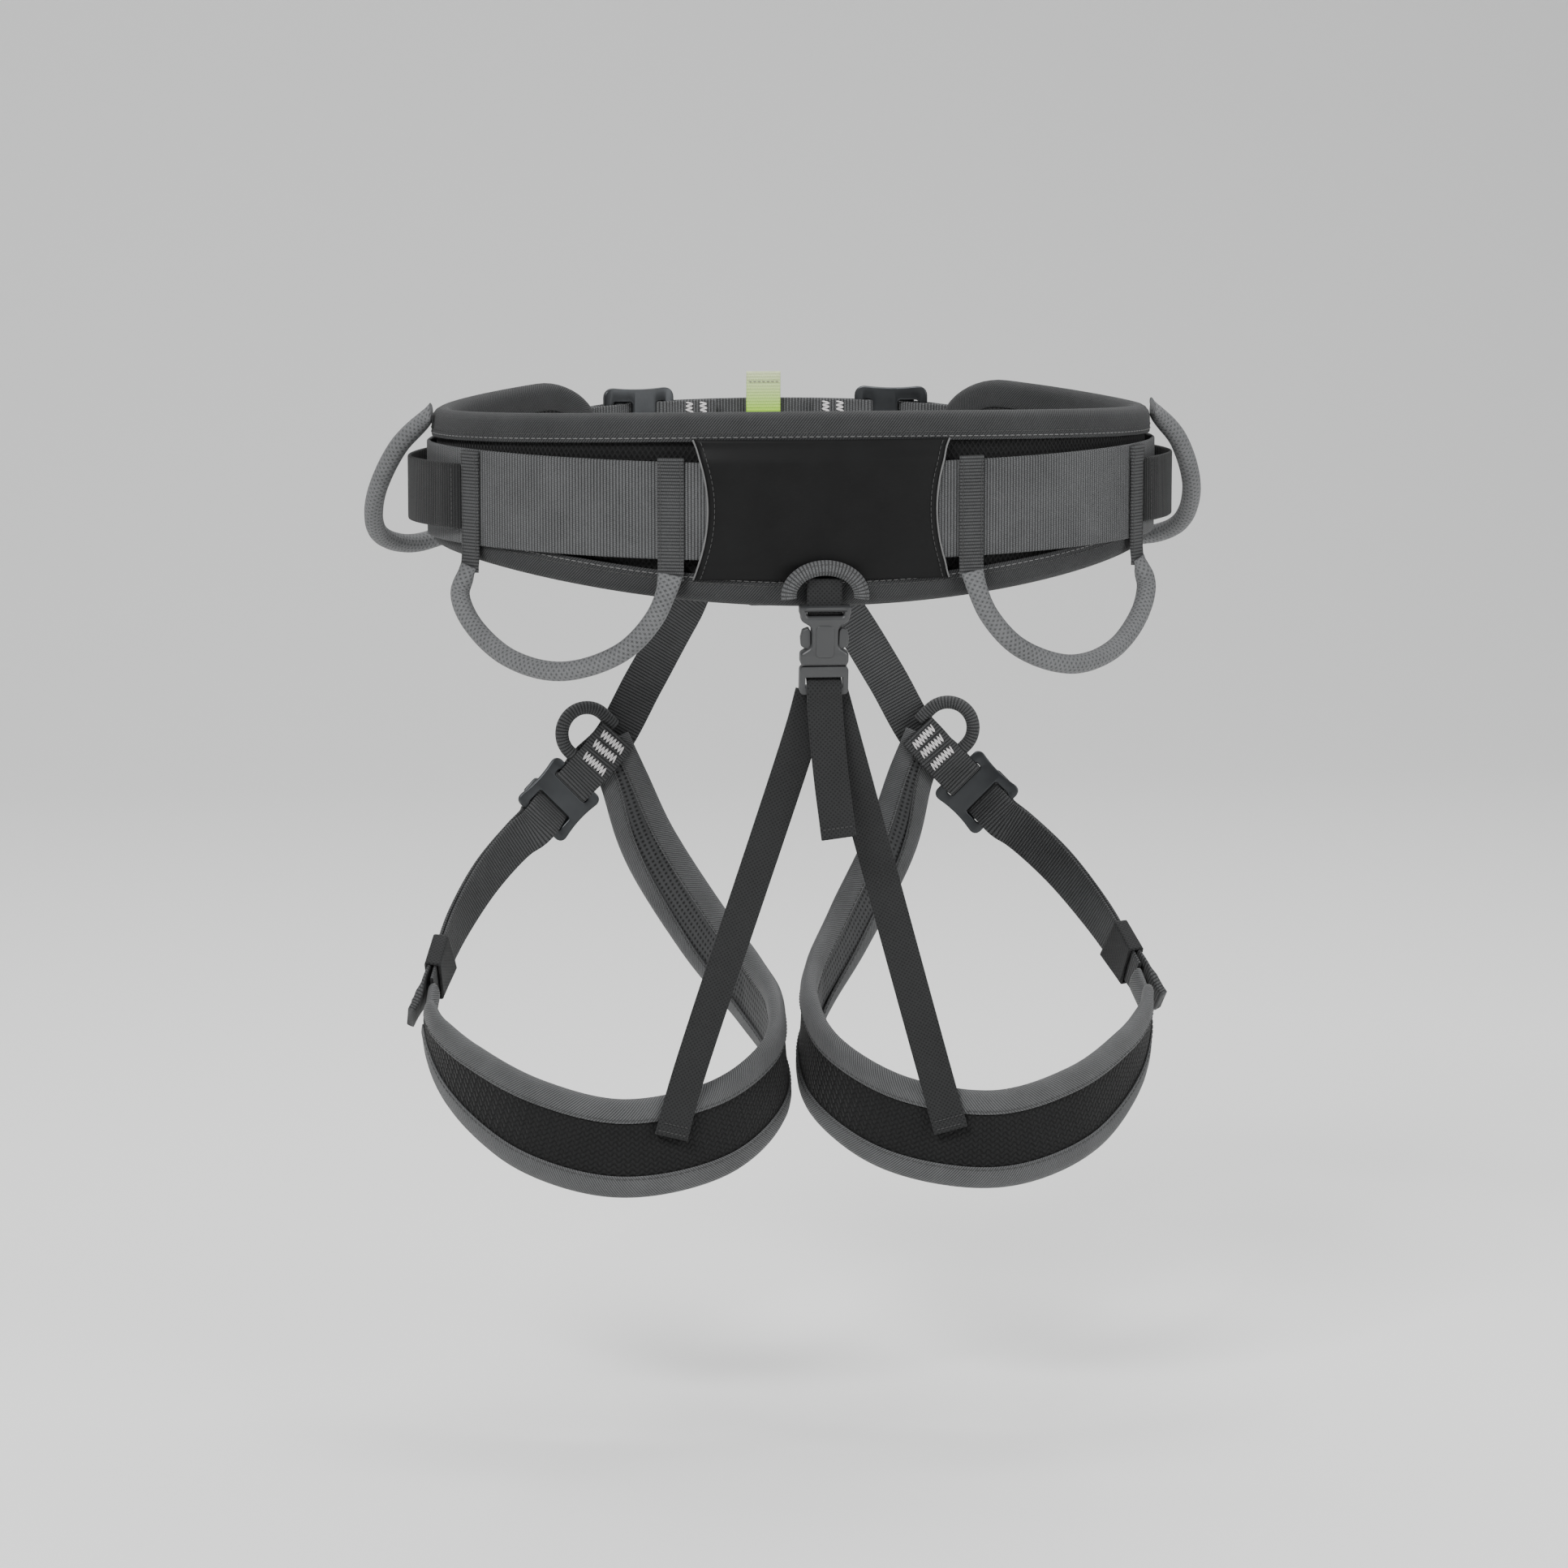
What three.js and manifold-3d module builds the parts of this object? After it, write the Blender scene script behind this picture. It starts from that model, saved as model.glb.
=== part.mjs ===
// Tree climbing saddle: a light sit harness of webbing and padding, standing as it is worn.
// Millimetres, +Z up. The wearer faces +Y, and +X is on the wearer's right.
// The origin is the centre of the waist opening, about level with the middle of the waist webbing.
import * as THREE from "three";
import { mergeVertices } from "three/addons/utils/BufferGeometryUtils.js";
import Module from "manifold-3d";

const wasm = await Module();
wasm.setup();

// ---------------------------------------------------------------- driving dimensions
const DEGREE = Math.PI / 180;
const GAP = 0.3; // clearance between pieces that lie on each other

// Waist belt. Its oval and its depths are measured from the outer face of the padding.
const WAIST_HALF_WIDTH = 168;
const WAIST_HALF_DEPTH = 111;
const BELT_TOP = { rear: 28, side: 24, front: 36 };
const BELT_BOTTOM = { rear: -58, side: -38, front: -14 };
const BELT_END = 149; // degrees from the middle of the back to the tip of a wing
const BELT_TIP = 13; // degrees that the round tip takes up
const STATION = 6; // degrees between the cross-sections of what runs round the waist
const MESH = 1;
const FOAM = 5;
const LINING = 1.2;
const TAPE = 1; // edge binding
const TAPE_WIDTH = 12;
const TAPE_JOIN = -41; // degrees, where the binding's two ends meet
const PAD_INSET = 2; // the pad's edge to the binding's outline

// Webbing round the waist
const WAIST_WEBBING = 44;
const WAIST_WEBBING_THICK = 1.9;
const WEBBING_HEIGHT = { rear: -16, side: -12, front: -1 };
const WAIST_TAIL = 70; // folded end, measured from the middle of the buckle
const BRIDGE_FOLD_END = 24; // half the distance between the bridge's folded ends

// Self-locking buckles: a frame plate with two slots, and a slider over it
const BUCKLE_PLATE = 2.6;
const BUCKLE_LENGTH = 30;
const SLIDER_PLATE = 2.2;
const LEG_BUCKLE_WIDTH = 34;
const WAIST_BUCKLE_WIDTH = 60;
const WAIST_BUCKLE_SCALE = 1.2; // the waist buckles are this much longer and thicker
const WAIST_BUCKLE_ANGLE = 158.7; // degrees from the middle of the back

// What is sewn on the belt
const PATCH = 1.2;
const PATCH_HALF_ANGLE = 20;
const GEAR_TAPE_WIDTH = 12;
const GEAR_TAPE = 1.5;
const GEAR_TAPE_TOP = 7;
const GEAR_TAPE_BOTTOM = -43;
const GEAR_TAPE_ANGLES = { inner: 23.5, outer: 64 };
const GEAR_LOOP_DIAMETER = 9;
const TOOL_SLOT_WIDTH = 30;
const TOOL_SLOT_THICK = 1.8;
const TOOL_SLOT_BULGE = 7;
const KEEPER_WIDTH = 14;
const KEEPER_THICK = 1.2;
const WAIST_KEEPER_ANGLE = 141;
const HAUL_LOOP_HALF_WIDTH = 16.5;
const HAUL_LOOP_RISE = 12.5;
const HAUL_LOOP_BASE = -53;
const HAUL_LOOP_THICK = 6;
const CENTRE_TAB_WIDTH = 17;
const CENTRE_TAB_TOP = 34;

// Tie-in at the front. The leg loops and the ventral loop turn about VENTRAL_HEIGHT, and the leg loops' webbing
// passes through the ventral loop.
const LEG_WEBBING = 20;
const VENTRAL_HEIGHT = -51;
const TIE_IN_HEIGHT = -36;
const TIE_IN_HALF_WIDTH = 30;
const VENTRAL_WIDTH = 16;
const VENTRAL_THICK = 4;
const VENTRAL_HALF_OPENING = LEG_WEBBING / 2 + 1.5;
const VENTRAL_ABOVE = 22.5; // inside of the loop above and below the axis
const VENTRAL_BELOW = 27;
const BRIDGE_HALF_SPAN = 14.4;
const RISER_CLEARANCE = 1.6; // lets the riser turn down at the bridge's end

// Rear release buckle and the elastic straps
const ELASTIC_WIDTH = 16;
const ELASTIC = 1.5;
const SOCKET_TOP = -58;
const SOCKET_WIDTH = 22;
const SOCKET_DEPTH = 8;
const SOCKET_LENGTH = 27;
const SOCKET_WALL = 1.2;
const PLUG_LENGTH = 13;
const PRONG_THICK = 2.6;
const ELASTIC_TAIL_END = -164;

// Leg loops. The pad's stops are [x, y, z, width, share of full thickness], from the riser round to the outer end.
const LEG_WEBBING_THICK = 1.6;
const LEG_TAPE_WIDTH = 9;
const LEG_RING_RADIUS = 12.5;
const LEG_KEEPER_SPAN = [0.66, 0.86]; // share of the strap's way from the buckle to the neck
const ELASTIC_FOOT = 7.55 / 12; // share of the pad's length where the elastic strap is sewn on
const THIGH = { x: 88, y: 12 };
const LEG_FOAM = 4;
const LEG_PAD_STOPS = [
  [79.5, 100.2, -146, 21, 0.38],
  [71.5, 98.8, -165, 22, 0.4],
  [60, 88, -195, 28, 0.85],
  [34, 65, -236, 34, 1],
  [14, 36, -261, 38, 1],
  [5.5, 3, -275, 41, 1],
  [10.5, -32, -291, 43, 1],
  [40, -61, -308, 45, 1],
  [88, -70, -315, 45, 1],
  [130, -56, -306, 44, 1],
  [161, -26, -288, 38, 1],
  [172, -6, -275, 30, 0.9],
  [175, 6, -266, 24, 0.6],
];

// ---------------------------------------------------------------- materials
const finish = (color, roughness, metalness = 0) => new THREE.MeshStandardMaterial({ color, roughness, metalness });
const webbingGrey = finish(0x77797b, 0.8);
const tapeGrey = finish(0x55585a, 0.85);
const meshBlack = finish(0x1c1d1f, 0.9);
const foamGrey = finish(0x3a3b3d, 0.95);
const liningGrey = finish(0x4a4c4e, 0.9);
const patchBlack = finish(0x141517, 0.6);
const slotBlack = finish(0x2a2b2d, 0.85);
const elasticBlack = finish(0x202123, 0.85);
const braidGrey = finish(0x7e8184, 0.75);
const bucklePlastic = finish(0x45484b, 0.45);
const buckleMetal = finish(0x1d1e20, 0.35, 0.9);
const tabGreen = finish(0xb9cf6a, 0.7);

// ---------------------------------------------------------------- shared geometry
const model = new THREE.Group();
const UP = new THREE.Vector3(0, 0, 1);

function add(name, geometry, material, parent = model) {
  const mesh = new THREE.Mesh(geometry, material);
  mesh.name = name;
  parent.add(mesh);
  return mesh;
}

// A rectangle between two corners.
function rectangle(x0, y0, x1, y1) {
  return new THREE.Shape([
    new THREE.Vector2(x0, y0),
    new THREE.Vector2(x1, y0),
    new THREE.Vector2(x1, y1),
    new THREE.Vector2(x0, y1),
  ]);
}

// A round or oval section with the given number of sides.
function oval(radiusX, radiusY, sides = 8) {
  const corners = Array.from({ length: sides }, (_, i) => {
    const a = (2 * Math.PI * i) / sides;
    return new THREE.Vector2(radiusX * Math.cos(a), radiusY * Math.sin(a));
  });
  return new THREE.Shape(corners);
}

// A binding tape folded over an edge: open towards +x, with its fold at x = -TAPE.
function tapeSection(outer, inner) {
  return new THREE.Shape([
    new THREE.Vector2(-TAPE, inner - TAPE),
    new THREE.Vector2(TAPE_WIDTH, inner - TAPE),
    new THREE.Vector2(TAPE_WIDTH, inner),
    new THREE.Vector2(0, inner),
    new THREE.Vector2(0, outer),
    new THREE.Vector2(TAPE_WIDTH, outer),
    new THREE.Vector2(TAPE_WIDTH, outer + TAPE),
    new THREE.Vector2(-TAPE, outer + TAPE),
  ]);
}

// Carries a straight solid along frames. Its z from 0 to 1 picks the frame, its x runs along the frame's across
// and its y along the frame's out.
function warp(geometry, frameAt) {
  const position = geometry.getAttribute("position");
  for (let i = 0; i < position.count; i++) {
    const { at, across, out, width = 1, thick = 1 } = frameAt(position.getZ(i));
    const point = at.clone();
    point.addScaledVector(across, position.getX(i) * width);
    point.addScaledVector(out, position.getY(i) * thick);
    position.setXYZ(i, point.x, point.y, point.z);
  }
  return geometry;
}

const sweep = (section, frameAt, steps) =>
  warp(new THREE.ExtrudeGeometry(section, { depth: 1, steps, bevelEnabled: false }), frameAt);

// A flat layer between two depths, with its width divided into lanes so that it twists evenly.
function layer(width, [low, high], frameAt, steps, lanes) {
  const geometry = new THREE.BoxGeometry(width, high - low, 1, lanes, 1, steps);
  return warp(geometry.translate(0, (low + high) / 2, 0.5), frameAt);
}

// The value of a list at t from 0 to 1, with numbers or vectors mixed between neighbours.
function mixAt(list, t) {
  const place = Math.min(t, 1) * (list.length - 1);
  const low = Math.min(Math.floor(place), list.length - 1);
  const high = Math.min(low + 1, list.length - 1);
  if (typeof list[low] === "number") return THREE.MathUtils.lerp(list[low], list[high], place - low);
  return list[low].clone().lerp(list[high], place - low);
}

// Frames along a smooth curve through points, with the direction that the section's y faces at each of them.
function route(points, outs, widths = [1], thicks = [1]) {
  const curve = new THREE.CatmullRomCurve3(points, false, "centripetal");
  return (t) => {
    const forward = curve.getTangent(t);
    const out = mixAt(outs, t);
    out.addScaledVector(forward, -out.dot(forward)).normalize();
    const across = out.clone().cross(forward);
    const up = forward.clone().negate();
    return { at: curve.getPoint(t), across, out, up, width: mixAt(widths, t), thick: mixAt(thicks, t) };
  };
}

const mirror = (v) => new THREE.Vector3(-v.x, v.y, v.z);

// A frame mirrored to the left side of the body.
function mirrorFrame(frame) {
  const vectors = Object.entries(frame).filter(([, value]) => value.isVector3);
  return { ...frame, ...Object.fromEntries(vectors.map(([key, value]) => [key, mirror(value)])) };
}

// The same frames on the wearer's right (side 1), or mirrored to the left (side -1) and run backwards.
const onSide = (side, frameAt) => (side > 0 ? frameAt : (t) => mirrorFrame(frameAt(1 - t)));

// A flat plate lying in a frame: its y runs along the frame's up, its thickness along the frame's out.
function plate(name, shape, thickness, frame, lift, material) {
  const geometry = new THREE.ExtrudeGeometry(shape, { depth: thickness, bevelEnabled: false, curveSegments: 3 });
  geometry.translate(0, 0, lift - thickness / 2);
  const mesh = add(name, geometry, material);
  const across = frame.up.clone().cross(frame.out);
  mesh.quaternion.setFromRotationMatrix(new THREE.Matrix4().makeBasis(across, frame.up, frame.out));
  mesh.position.copy(frame.at);
  return mesh;
}

// A rectangle with round corners, centred on the origin, or with its middle at a height of y.
function roundedRectangle(width, height, radius, y = 0, Kind = THREE.Shape) {
  const w = width / 2;
  const h = height / 2;
  const shape = new Kind();
  shape.moveTo(w, y - h + radius);
  shape.lineTo(w, y + h - radius);
  shape.absarc(w - radius, y + h - radius, radius, 0, Math.PI / 2);
  shape.absarc(-w + radius, y + h - radius, radius, Math.PI / 2, Math.PI);
  shape.absarc(-w + radius, y - h + radius, radius, Math.PI, 1.5 * Math.PI);
  shape.absarc(w - radius, y - h + radius, radius, 1.5 * Math.PI, 2 * Math.PI);
  return shape;
}

// A closed geometry as a solid that can be joined and cut, and back again.
function solid(geometry) {
  const bare = new THREE.BufferGeometry().setAttribute("position", geometry.getAttribute("position"));
  if (geometry.index) bare.setIndex(geometry.index);
  const merged = mergeVertices(bare, 1e-3);
  const vertProperties = merged.getAttribute("position").array;
  const triVerts = new Uint32Array(merged.index.array);
  return new wasm.Manifold(new wasm.Mesh({ numProp: 3, vertProperties, triVerts }));
}

function geometryOf(manifold) {
  const mesh = manifold.getMesh();
  const geometry = new THREE.BufferGeometry();
  geometry.setAttribute("position", new THREE.BufferAttribute(new Float32Array(mesh.vertProperties), 3));
  geometry.setIndex(new THREE.BufferAttribute(mesh.triVerts, 1));
  return geometry;
}

function box(x0, x1, y0, y1, z0, z1) {
  const geometry = new THREE.BoxGeometry(x1 - x0, y1 - y0, z1 - z0);
  return geometry.translate((x0 + x1) / 2, (y0 + y1) / 2, (z0 + z1) / 2);
}

// ---------------------------------------------------------------- the waist oval
// The outward normal at an angle from the middle of the back, in degrees, positive towards +X.
function waistNormal(angle) {
  const x = Math.sin(angle * DEGREE) / WAIST_HALF_WIDTH;
  const y = -Math.cos(angle * DEGREE) / WAIST_HALF_DEPTH;
  return new THREE.Vector3(x, y, 0).normalize();
}

function waistPoint(angle, depth, z) {
  const x = WAIST_HALF_WIDTH * Math.sin(angle * DEGREE);
  const y = -WAIST_HALF_DEPTH * Math.cos(angle * DEGREE);
  return new THREE.Vector3(x, y, z).addScaledVector(waistNormal(angle), depth);
}

// A height that goes smoothly from its rear value over its side value to its front value.
function waistHeight(values, angle) {
  const c = Math.cos(angle * DEGREE);
  const end = c > 0 ? values.rear : values.front;
  return values.side + (end - values.side) * c * c;
}

// Arc length of one radian of the oval, at an angle.
function waistRadius(angle) {
  const x = WAIST_HALF_WIDTH * Math.cos(angle * DEGREE);
  return Math.hypot(x, WAIST_HALF_DEPTH * Math.sin(angle * DEGREE));
}

// Angles from one to another, with the shared cross-sections between them.
function stationsBetween(from, to) {
  const stations = [from];
  for (let a = Math.ceil((from + 1) / STATION) * STATION; a < to - 1; a += STATION) stations.push(a);
  return [...stations, to];
}

// A band round the waist. rise and depth give its middle height and its depth at each angle.
function waistBand(section, stations, rise, depth = () => 0) {
  const frameAt = (t) => {
    const i = Math.round(t * (stations.length - 1));
    const angle = stations[i];
    return { at: waistPoint(angle, depth(angle, i), rise(angle)), across: UP, out: waistNormal(angle) };
  };
  return { section, frameAt, steps: stations.length - 1 };
}

const build = ({ section, frameAt, steps }) => sweep(section, frameAt, steps);

// ---------------------------------------------------------------- padded belt
const meshDepth = [-MESH, 0];
const foamDepth = [meshDepth[0] - GAP - FOAM, meshDepth[0] - GAP];
const liningDepth = [foamDepth[0] - GAP - LINING, foamDepth[0] - GAP];
const tapeDepth = GAP + TAPE; // the binding's outer face
const webbingDepth = tapeDepth + 2 * GAP + WAIST_WEBBING_THICK / 2; // the webbing's middle
const overWebbing = webbingDepth + WAIST_WEBBING_THICK / 2 + GAP;
const TIP_START = BELT_END - BELT_TIP;

const beltMiddle = (a) => (waistHeight(BELT_TOP, a) + waistHeight(BELT_BOTTOM, a)) / 2;
const beltHalf = (a) => (waistHeight(BELT_TOP, a) - waistHeight(BELT_BOTTOM, a)) / 2;

// The share of the belt's full height that is left in its round tip.
function tipShare(angle) {
  const beyond = Math.max(0, Math.abs(angle) - TIP_START) / BELT_TIP;
  return Math.sqrt(Math.max(0, 1 - beyond * beyond));
}

function beltLayer(name, depths, material) {
  const tip = [0.35, 0.65, 0.87].map((share) => TIP_START + BELT_TIP * share);
  const middle = stationsBetween(-TIP_START, TIP_START);
  const stations = [...tip.map((a) => -a).reverse(), ...middle, ...tip];
  const band = waistBand(rectangle(-0.5, depths[0], 0.5, depths[1]), stations, beltMiddle);
  const frameAt = (t) => {
    const angle = stations[Math.round(t * band.steps)];
    return { ...band.frameAt(t), width: 2 * (beltHalf(angle) * tipShare(angle) - PAD_INSET) };
  };
  return add(name, sweep(band.section, frameAt, band.steps), material);
}

// The binding runs once round the pad's edge, from its join and back to it.
function beltBinding() {
  const edge = (angle, sign) => ({ angle, z: beltMiddle(angle) + sign * beltHalf(angle) });
  const tip = (side) => {
    const turn = [-60, -35, -12, 12, 35, 60];
    return turn.map((phi) => {
      const angle = TIP_START + BELT_TIP * Math.cos(phi * DEGREE);
      const z = beltMiddle(angle) + side * beltHalf(angle) * Math.sin(phi * DEGREE);
      return { angle: side * angle, z };
    });
  };
  const stops = [
    ...stationsBetween(TAPE_JOIN + 0.1, TIP_START).map((a) => edge(a, -1)),
    ...tip(1),
    ...stationsBetween(-TIP_START, TIP_START).reverse().map((a) => edge(a, 1)),
    ...tip(-1),
    ...stationsBetween(-TIP_START, TAPE_JOIN - 0.1).map((a) => edge(a, -1)),
  ];
  const frameAt = (t) => {
    const i = Math.round(t * (stops.length - 1));
    const before = stops[Math.max(i - 1, 0)];
    const after = stops[Math.min(i + 1, stops.length - 1)];
    const { angle, z } = stops[i];
    const forward = waistPoint(after.angle, 0, after.z).sub(waistPoint(before.angle, 0, before.z));
    const out = waistNormal(angle);
    forward.addScaledVector(out, -forward.dot(out)).normalize();
    return { at: waistPoint(angle, 0, z), out, across: out.clone().cross(forward) };
  };
  const section = tapeSection(GAP, liningDepth[0] - 3 * GAP);
  return add("belt_binding", sweep(section, frameAt, stops.length - 1), tapeGrey);
}

beltLayer("belt_mesh", meshDepth, meshBlack);
beltLayer("belt_foam", foamDepth, foamGrey);
beltLayer("belt_lining", liningDepth, liningGrey);
beltBinding();

// ---------------------------------------------------------------- webbing through a self-locking buckle
// Stops as [along, lift]: along is measured from the middle of the buckle towards the strap, lift from the
// middle of its plate outwards. The fixed end goes round the upper bar. The adjusting end comes up through the
// lower slot, over the middle bar, round the slider and back down outside.
const FIXED_END = [
  [-15, 2.5],
  [-10.4, 2.5],
  [-8.6, 1.8],
  [-7.9, 0],
  [-8.6, -1.8],
  [-10.4, -2.5],
  [-15, -2.5],
];
const ADJUSTING_END = [
  [19, -3.1],
  [12, -2.6],
  [7, -0.1],
  [2, 2.6],
  [-1, 2.7],
  [-2.9, 3.6],
  [-3.5, 5.1],
  [-2.9, 6.7],
  [-1, 7.5],
  [9.5, 8.8],
  [13, 6.6],
  [17, 4],
];
const SLIDER_LIFT = 5.1;

// The buckle's two plates, in a frame whose up runs towards the fixed end.
function buckle(names, frame, width, webbing, scale) {
  const shape = roundedRectangle(width, BUCKLE_LENGTH * scale, 4 * scale);
  shape.holes.push(roundedRectangle(webbing + 2, 6 * scale, scale, 8 * scale, THREE.Path));
  shape.holes.push(roundedRectangle(webbing + 2, 9.6 * scale, scale, -6.7 * scale, THREE.Path));
  plate(names.frame, shape, BUCKLE_PLATE * scale, frame, 0, buckleMetal);
  const slider = roundedRectangle(width - 4, 10 * scale, 1.5 * scale, -4 * scale);
  plate(names.slider, slider, SLIDER_PLATE * scale, frame, SLIDER_LIFT * scale, buckleMetal);
}

// ---------------------------------------------------------------- waist webbing and its buckles
const webbingRise = (angle) => waistHeight(WEBBING_HEIGHT, angle);
const waistBuckleDepth = webbingDepth + 2.6 * WAIST_BUCKLE_SCALE;
const tailDepth = webbingDepth + WAIST_WEBBING_THICK + GAP;

// The angle at a distance from the middle of the waist buckle, towards the side of the body.
const fromBuckle = (distance) => WAIST_BUCKLE_ANGLE - distance / waistRadius(WAIST_BUCKLE_ANGLE) / DEGREE;

// The right waist buckle's frame. Its up runs towards the front centre.
const waistBuckleOut = waistNormal(WAIST_BUCKLE_ANGLE);
const waistBuckleFrame = {
  at: waistPoint(WAIST_BUCKLE_ANGLE, waistBuckleDepth, webbingRise(WAIST_BUCKLE_ANGLE)),
  out: waistBuckleOut,
  up: new THREE.Vector3(-waistBuckleOut.y, waistBuckleOut.x, 0),
};

// Stops of a band: on the waist oval, or in the flat frame of the right buckle.
const waistStop = (angle, depth) => ({ angle, at: waistPoint(angle, depth, 0) });

function buckleStop([along, lift]) {
  const at = waistBuckleFrame.at.clone();
  at.addScaledVector(waistBuckleFrame.up, -along * WAIST_BUCKLE_SCALE);
  at.addScaledVector(waistBuckleFrame.out, lift * WAIST_BUCKLE_SCALE);
  return { angle: fromBuckle(along * WAIST_BUCKLE_SCALE), at };
}

const mirrorStop = ({ angle, at }) => ({ angle: -angle, at: mirror(at) });

// A band through given stops, with its section square to its own path.
function foldedBand(name, height, stops, material) {
  const curve = new THREE.CatmullRomCurve3(stops.map(({ at }) => at), false, "centripetal");
  const rises = stops.map(({ angle }) => webbingRise(angle));
  const frameAt = (t) => {
    const forward = curve.getTangent(t).setZ(0).normalize();
    return { at: curve.getPoint(t).setZ(mixAt(rises, t)), across: UP, out: forward.clone().cross(UP) };
  };
  const half = WAIST_WEBBING_THICK / 2;
  const section = rectangle(-height / 2, -half, height / 2, half);
  return add(name, sweep(section, frameAt, stops.length - 1), material);
}

function waistWebbing() {
  const through = ADJUSTING_END.map(buckleStop);
  const tail = [34, 52, WAIST_TAIL].map((distance) => waistStop(fromBuckle(distance), tailDepth));
  const rightEnd = [...through, ...tail];
  const leftEnd = rightEnd.map(mirrorStop).reverse();
  const last = fromBuckle(26);
  const round = stationsBetween(-last, last).map((angle) => waistStop(angle, webbingDepth));
  return foldedBand("waist_webbing", WAIST_WEBBING, [...leftEnd, ...round, ...rightEnd], webbingGrey);
}

function frontBridge() {
  const foldEnd = 180 - Math.asin(BRIDGE_FOLD_END / WAIST_HALF_WIDTH) / DEGREE;
  const inner = waistBuckleDepth - 2.5 * WAIST_BUCKLE_SCALE;
  const outer = waistBuckleDepth + 2.5 * WAIST_BUCKLE_SCALE + GAP;
  const fold = FIXED_END.map(buckleStop).reverse();
  const rightHalf = [waistStop(foldEnd, inner), waistStop(168, inner), ...fold, waistStop(172, outer)];
  const leftHalf = rightHalf.map(mirrorStop).reverse();
  return foldedBand("front_bridge", WAIST_WEBBING, [...rightHalf, waistStop(180, outer), ...leftHalf], webbingGrey);
}

function waistBuckle(side) {
  const name = side > 0 ? "right" : "left";
  const names = { frame: `waist_buckle_frame_${name}`, slider: `waist_buckle_slider_${name}` };
  const frame = side > 0 ? waistBuckleFrame : mirrorFrame(waistBuckleFrame);
  buckle(names, frame, WAIST_BUCKLE_WIDTH, WAIST_WEBBING, WAIST_BUCKLE_SCALE);
}

// A keeper is a short band over the folded tail, with legs down past both edges of the webbing.
function waistKeeper(side) {
  const half = WAIST_WEBBING / 2 + GAP;
  const foot = webbingDepth;
  const top = tailDepth + WAIST_WEBBING_THICK / 2 + GAP;
  const section = new THREE.Shape([
    new THREE.Vector2(-half - KEEPER_THICK, foot),
    new THREE.Vector2(-half, foot),
    new THREE.Vector2(-half, top),
    new THREE.Vector2(half, top),
    new THREE.Vector2(half, foot),
    new THREE.Vector2(half + KEEPER_THICK, foot),
    new THREE.Vector2(half + KEEPER_THICK, top + KEEPER_THICK),
    new THREE.Vector2(-half - KEEPER_THICK, top + KEEPER_THICK),
  ]);
  const reach = KEEPER_WIDTH / 2 / waistRadius(WAIST_KEEPER_ANGLE) / DEGREE;
  const angles = [WAIST_KEEPER_ANGLE - reach, WAIST_KEEPER_ANGLE, WAIST_KEEPER_ANGLE + reach];
  const band = waistBand(section, angles, webbingRise);
  const name = side > 0 ? "waist_keeper_right" : "waist_keeper_left";
  return add(name, sweep(section, onSide(side, band.frameAt), band.steps), slotBlack);
}

waistWebbing();
frontBridge();
for (const side of [1, -1]) {
  waistBuckle(side);
  waistKeeper(side);
}

// ---------------------------------------------------------------- sewn on the belt
function rearPatch() {
  const low = waistHeight(BELT_BOTTOM, 0) + TAPE_WIDTH;
  const high = waistHeight(BELT_TOP, 0) - TAPE_WIDTH;
  const stations = stationsBetween(-PATCH_HALF_ANGLE, PATCH_HALF_ANGLE);
  const section = rectangle(-(high - low) / 2, overWebbing, (high - low) / 2, overWebbing + PATCH);
  return add("rear_patch", build(waistBand(section, stations, () => (high + low) / 2)), patchBlack);
}

function gearTape(side, place) {
  const reach = GEAR_TAPE_WIDTH / 2 / waistRadius(GEAR_TAPE_ANGLES[place]) / DEGREE;
  const angles = [GEAR_TAPE_ANGLES[place] - reach, GEAR_TAPE_ANGLES[place] + reach];
  const height = GEAR_TAPE_TOP - GEAR_TAPE_BOTTOM;
  const section = rectangle(-height / 2, overWebbing, height / 2, overWebbing + GEAR_TAPE);
  const band = waistBand(section, angles, () => (GEAR_TAPE_TOP + GEAR_TAPE_BOTTOM) / 2);
  const name = `gear_tape_${place}_${side > 0 ? "right" : "left"}`;
  return add(name, sweep(section, onSide(side, band.frameAt), band.steps), tapeGrey);
}

// Gear loops as stops of [angle, depth of the tube's middle, z], from their rear end to their front end.
const REAR_LOOP = [
  [23.5, 7.4, -47],
  [25, 9, -62],
  [31, 11, -79],
  [41, 12, -88.5],
  [52, 11, -84],
  [62, 9.5, -69],
  [66, 9, -57],
  [64.5, 7.4, -47],
];
const SIDE_LOOP = [
  [87, 7.5, 20],
  [90.5, 19, 6],
  [97, 29, -18],
  [105, 33, -37],
  [115, 28, -44],
  [124, 18, -37],
  [129, 10, -25],
];

function gearLoop(name, side, stops) {
  const points = stops.map(([angle, depth, z]) => waistPoint(angle, depth, z));
  const outs = stops.map(([angle]) => waistNormal(angle).add(new THREE.Vector3(0, 0, 0.2)));
  const radius = GEAR_LOOP_DIAMETER / 2;
  const frameAt = onSide(side, route(points, outs));
  return add(name, sweep(oval(radius, radius), frameAt, 3 * (stops.length - 1)), braidGrey);
}

// A flat loop that stands off the side of the belt between its two sewn ends.
function toolSlot(side) {
  const from = GEAR_TAPE_ANGLES.outer + 4;
  const to = 118;
  const stations = stationsBetween(from, to);
  const lift = (angle) => overWebbing + TOOL_SLOT_BULGE * Math.sin((Math.PI * (angle - from)) / (to - from));
  const section = rectangle(-TOOL_SLOT_WIDTH / 2, 0, TOOL_SLOT_WIDTH / 2, TOOL_SLOT_THICK);
  const band = waistBand(section, stations, webbingRise, lift);
  const name = side > 0 ? "tool_slot_right" : "tool_slot_left";
  return add(name, sweep(section, onSide(side, band.frameAt), band.steps), slotBlack);
}

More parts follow.
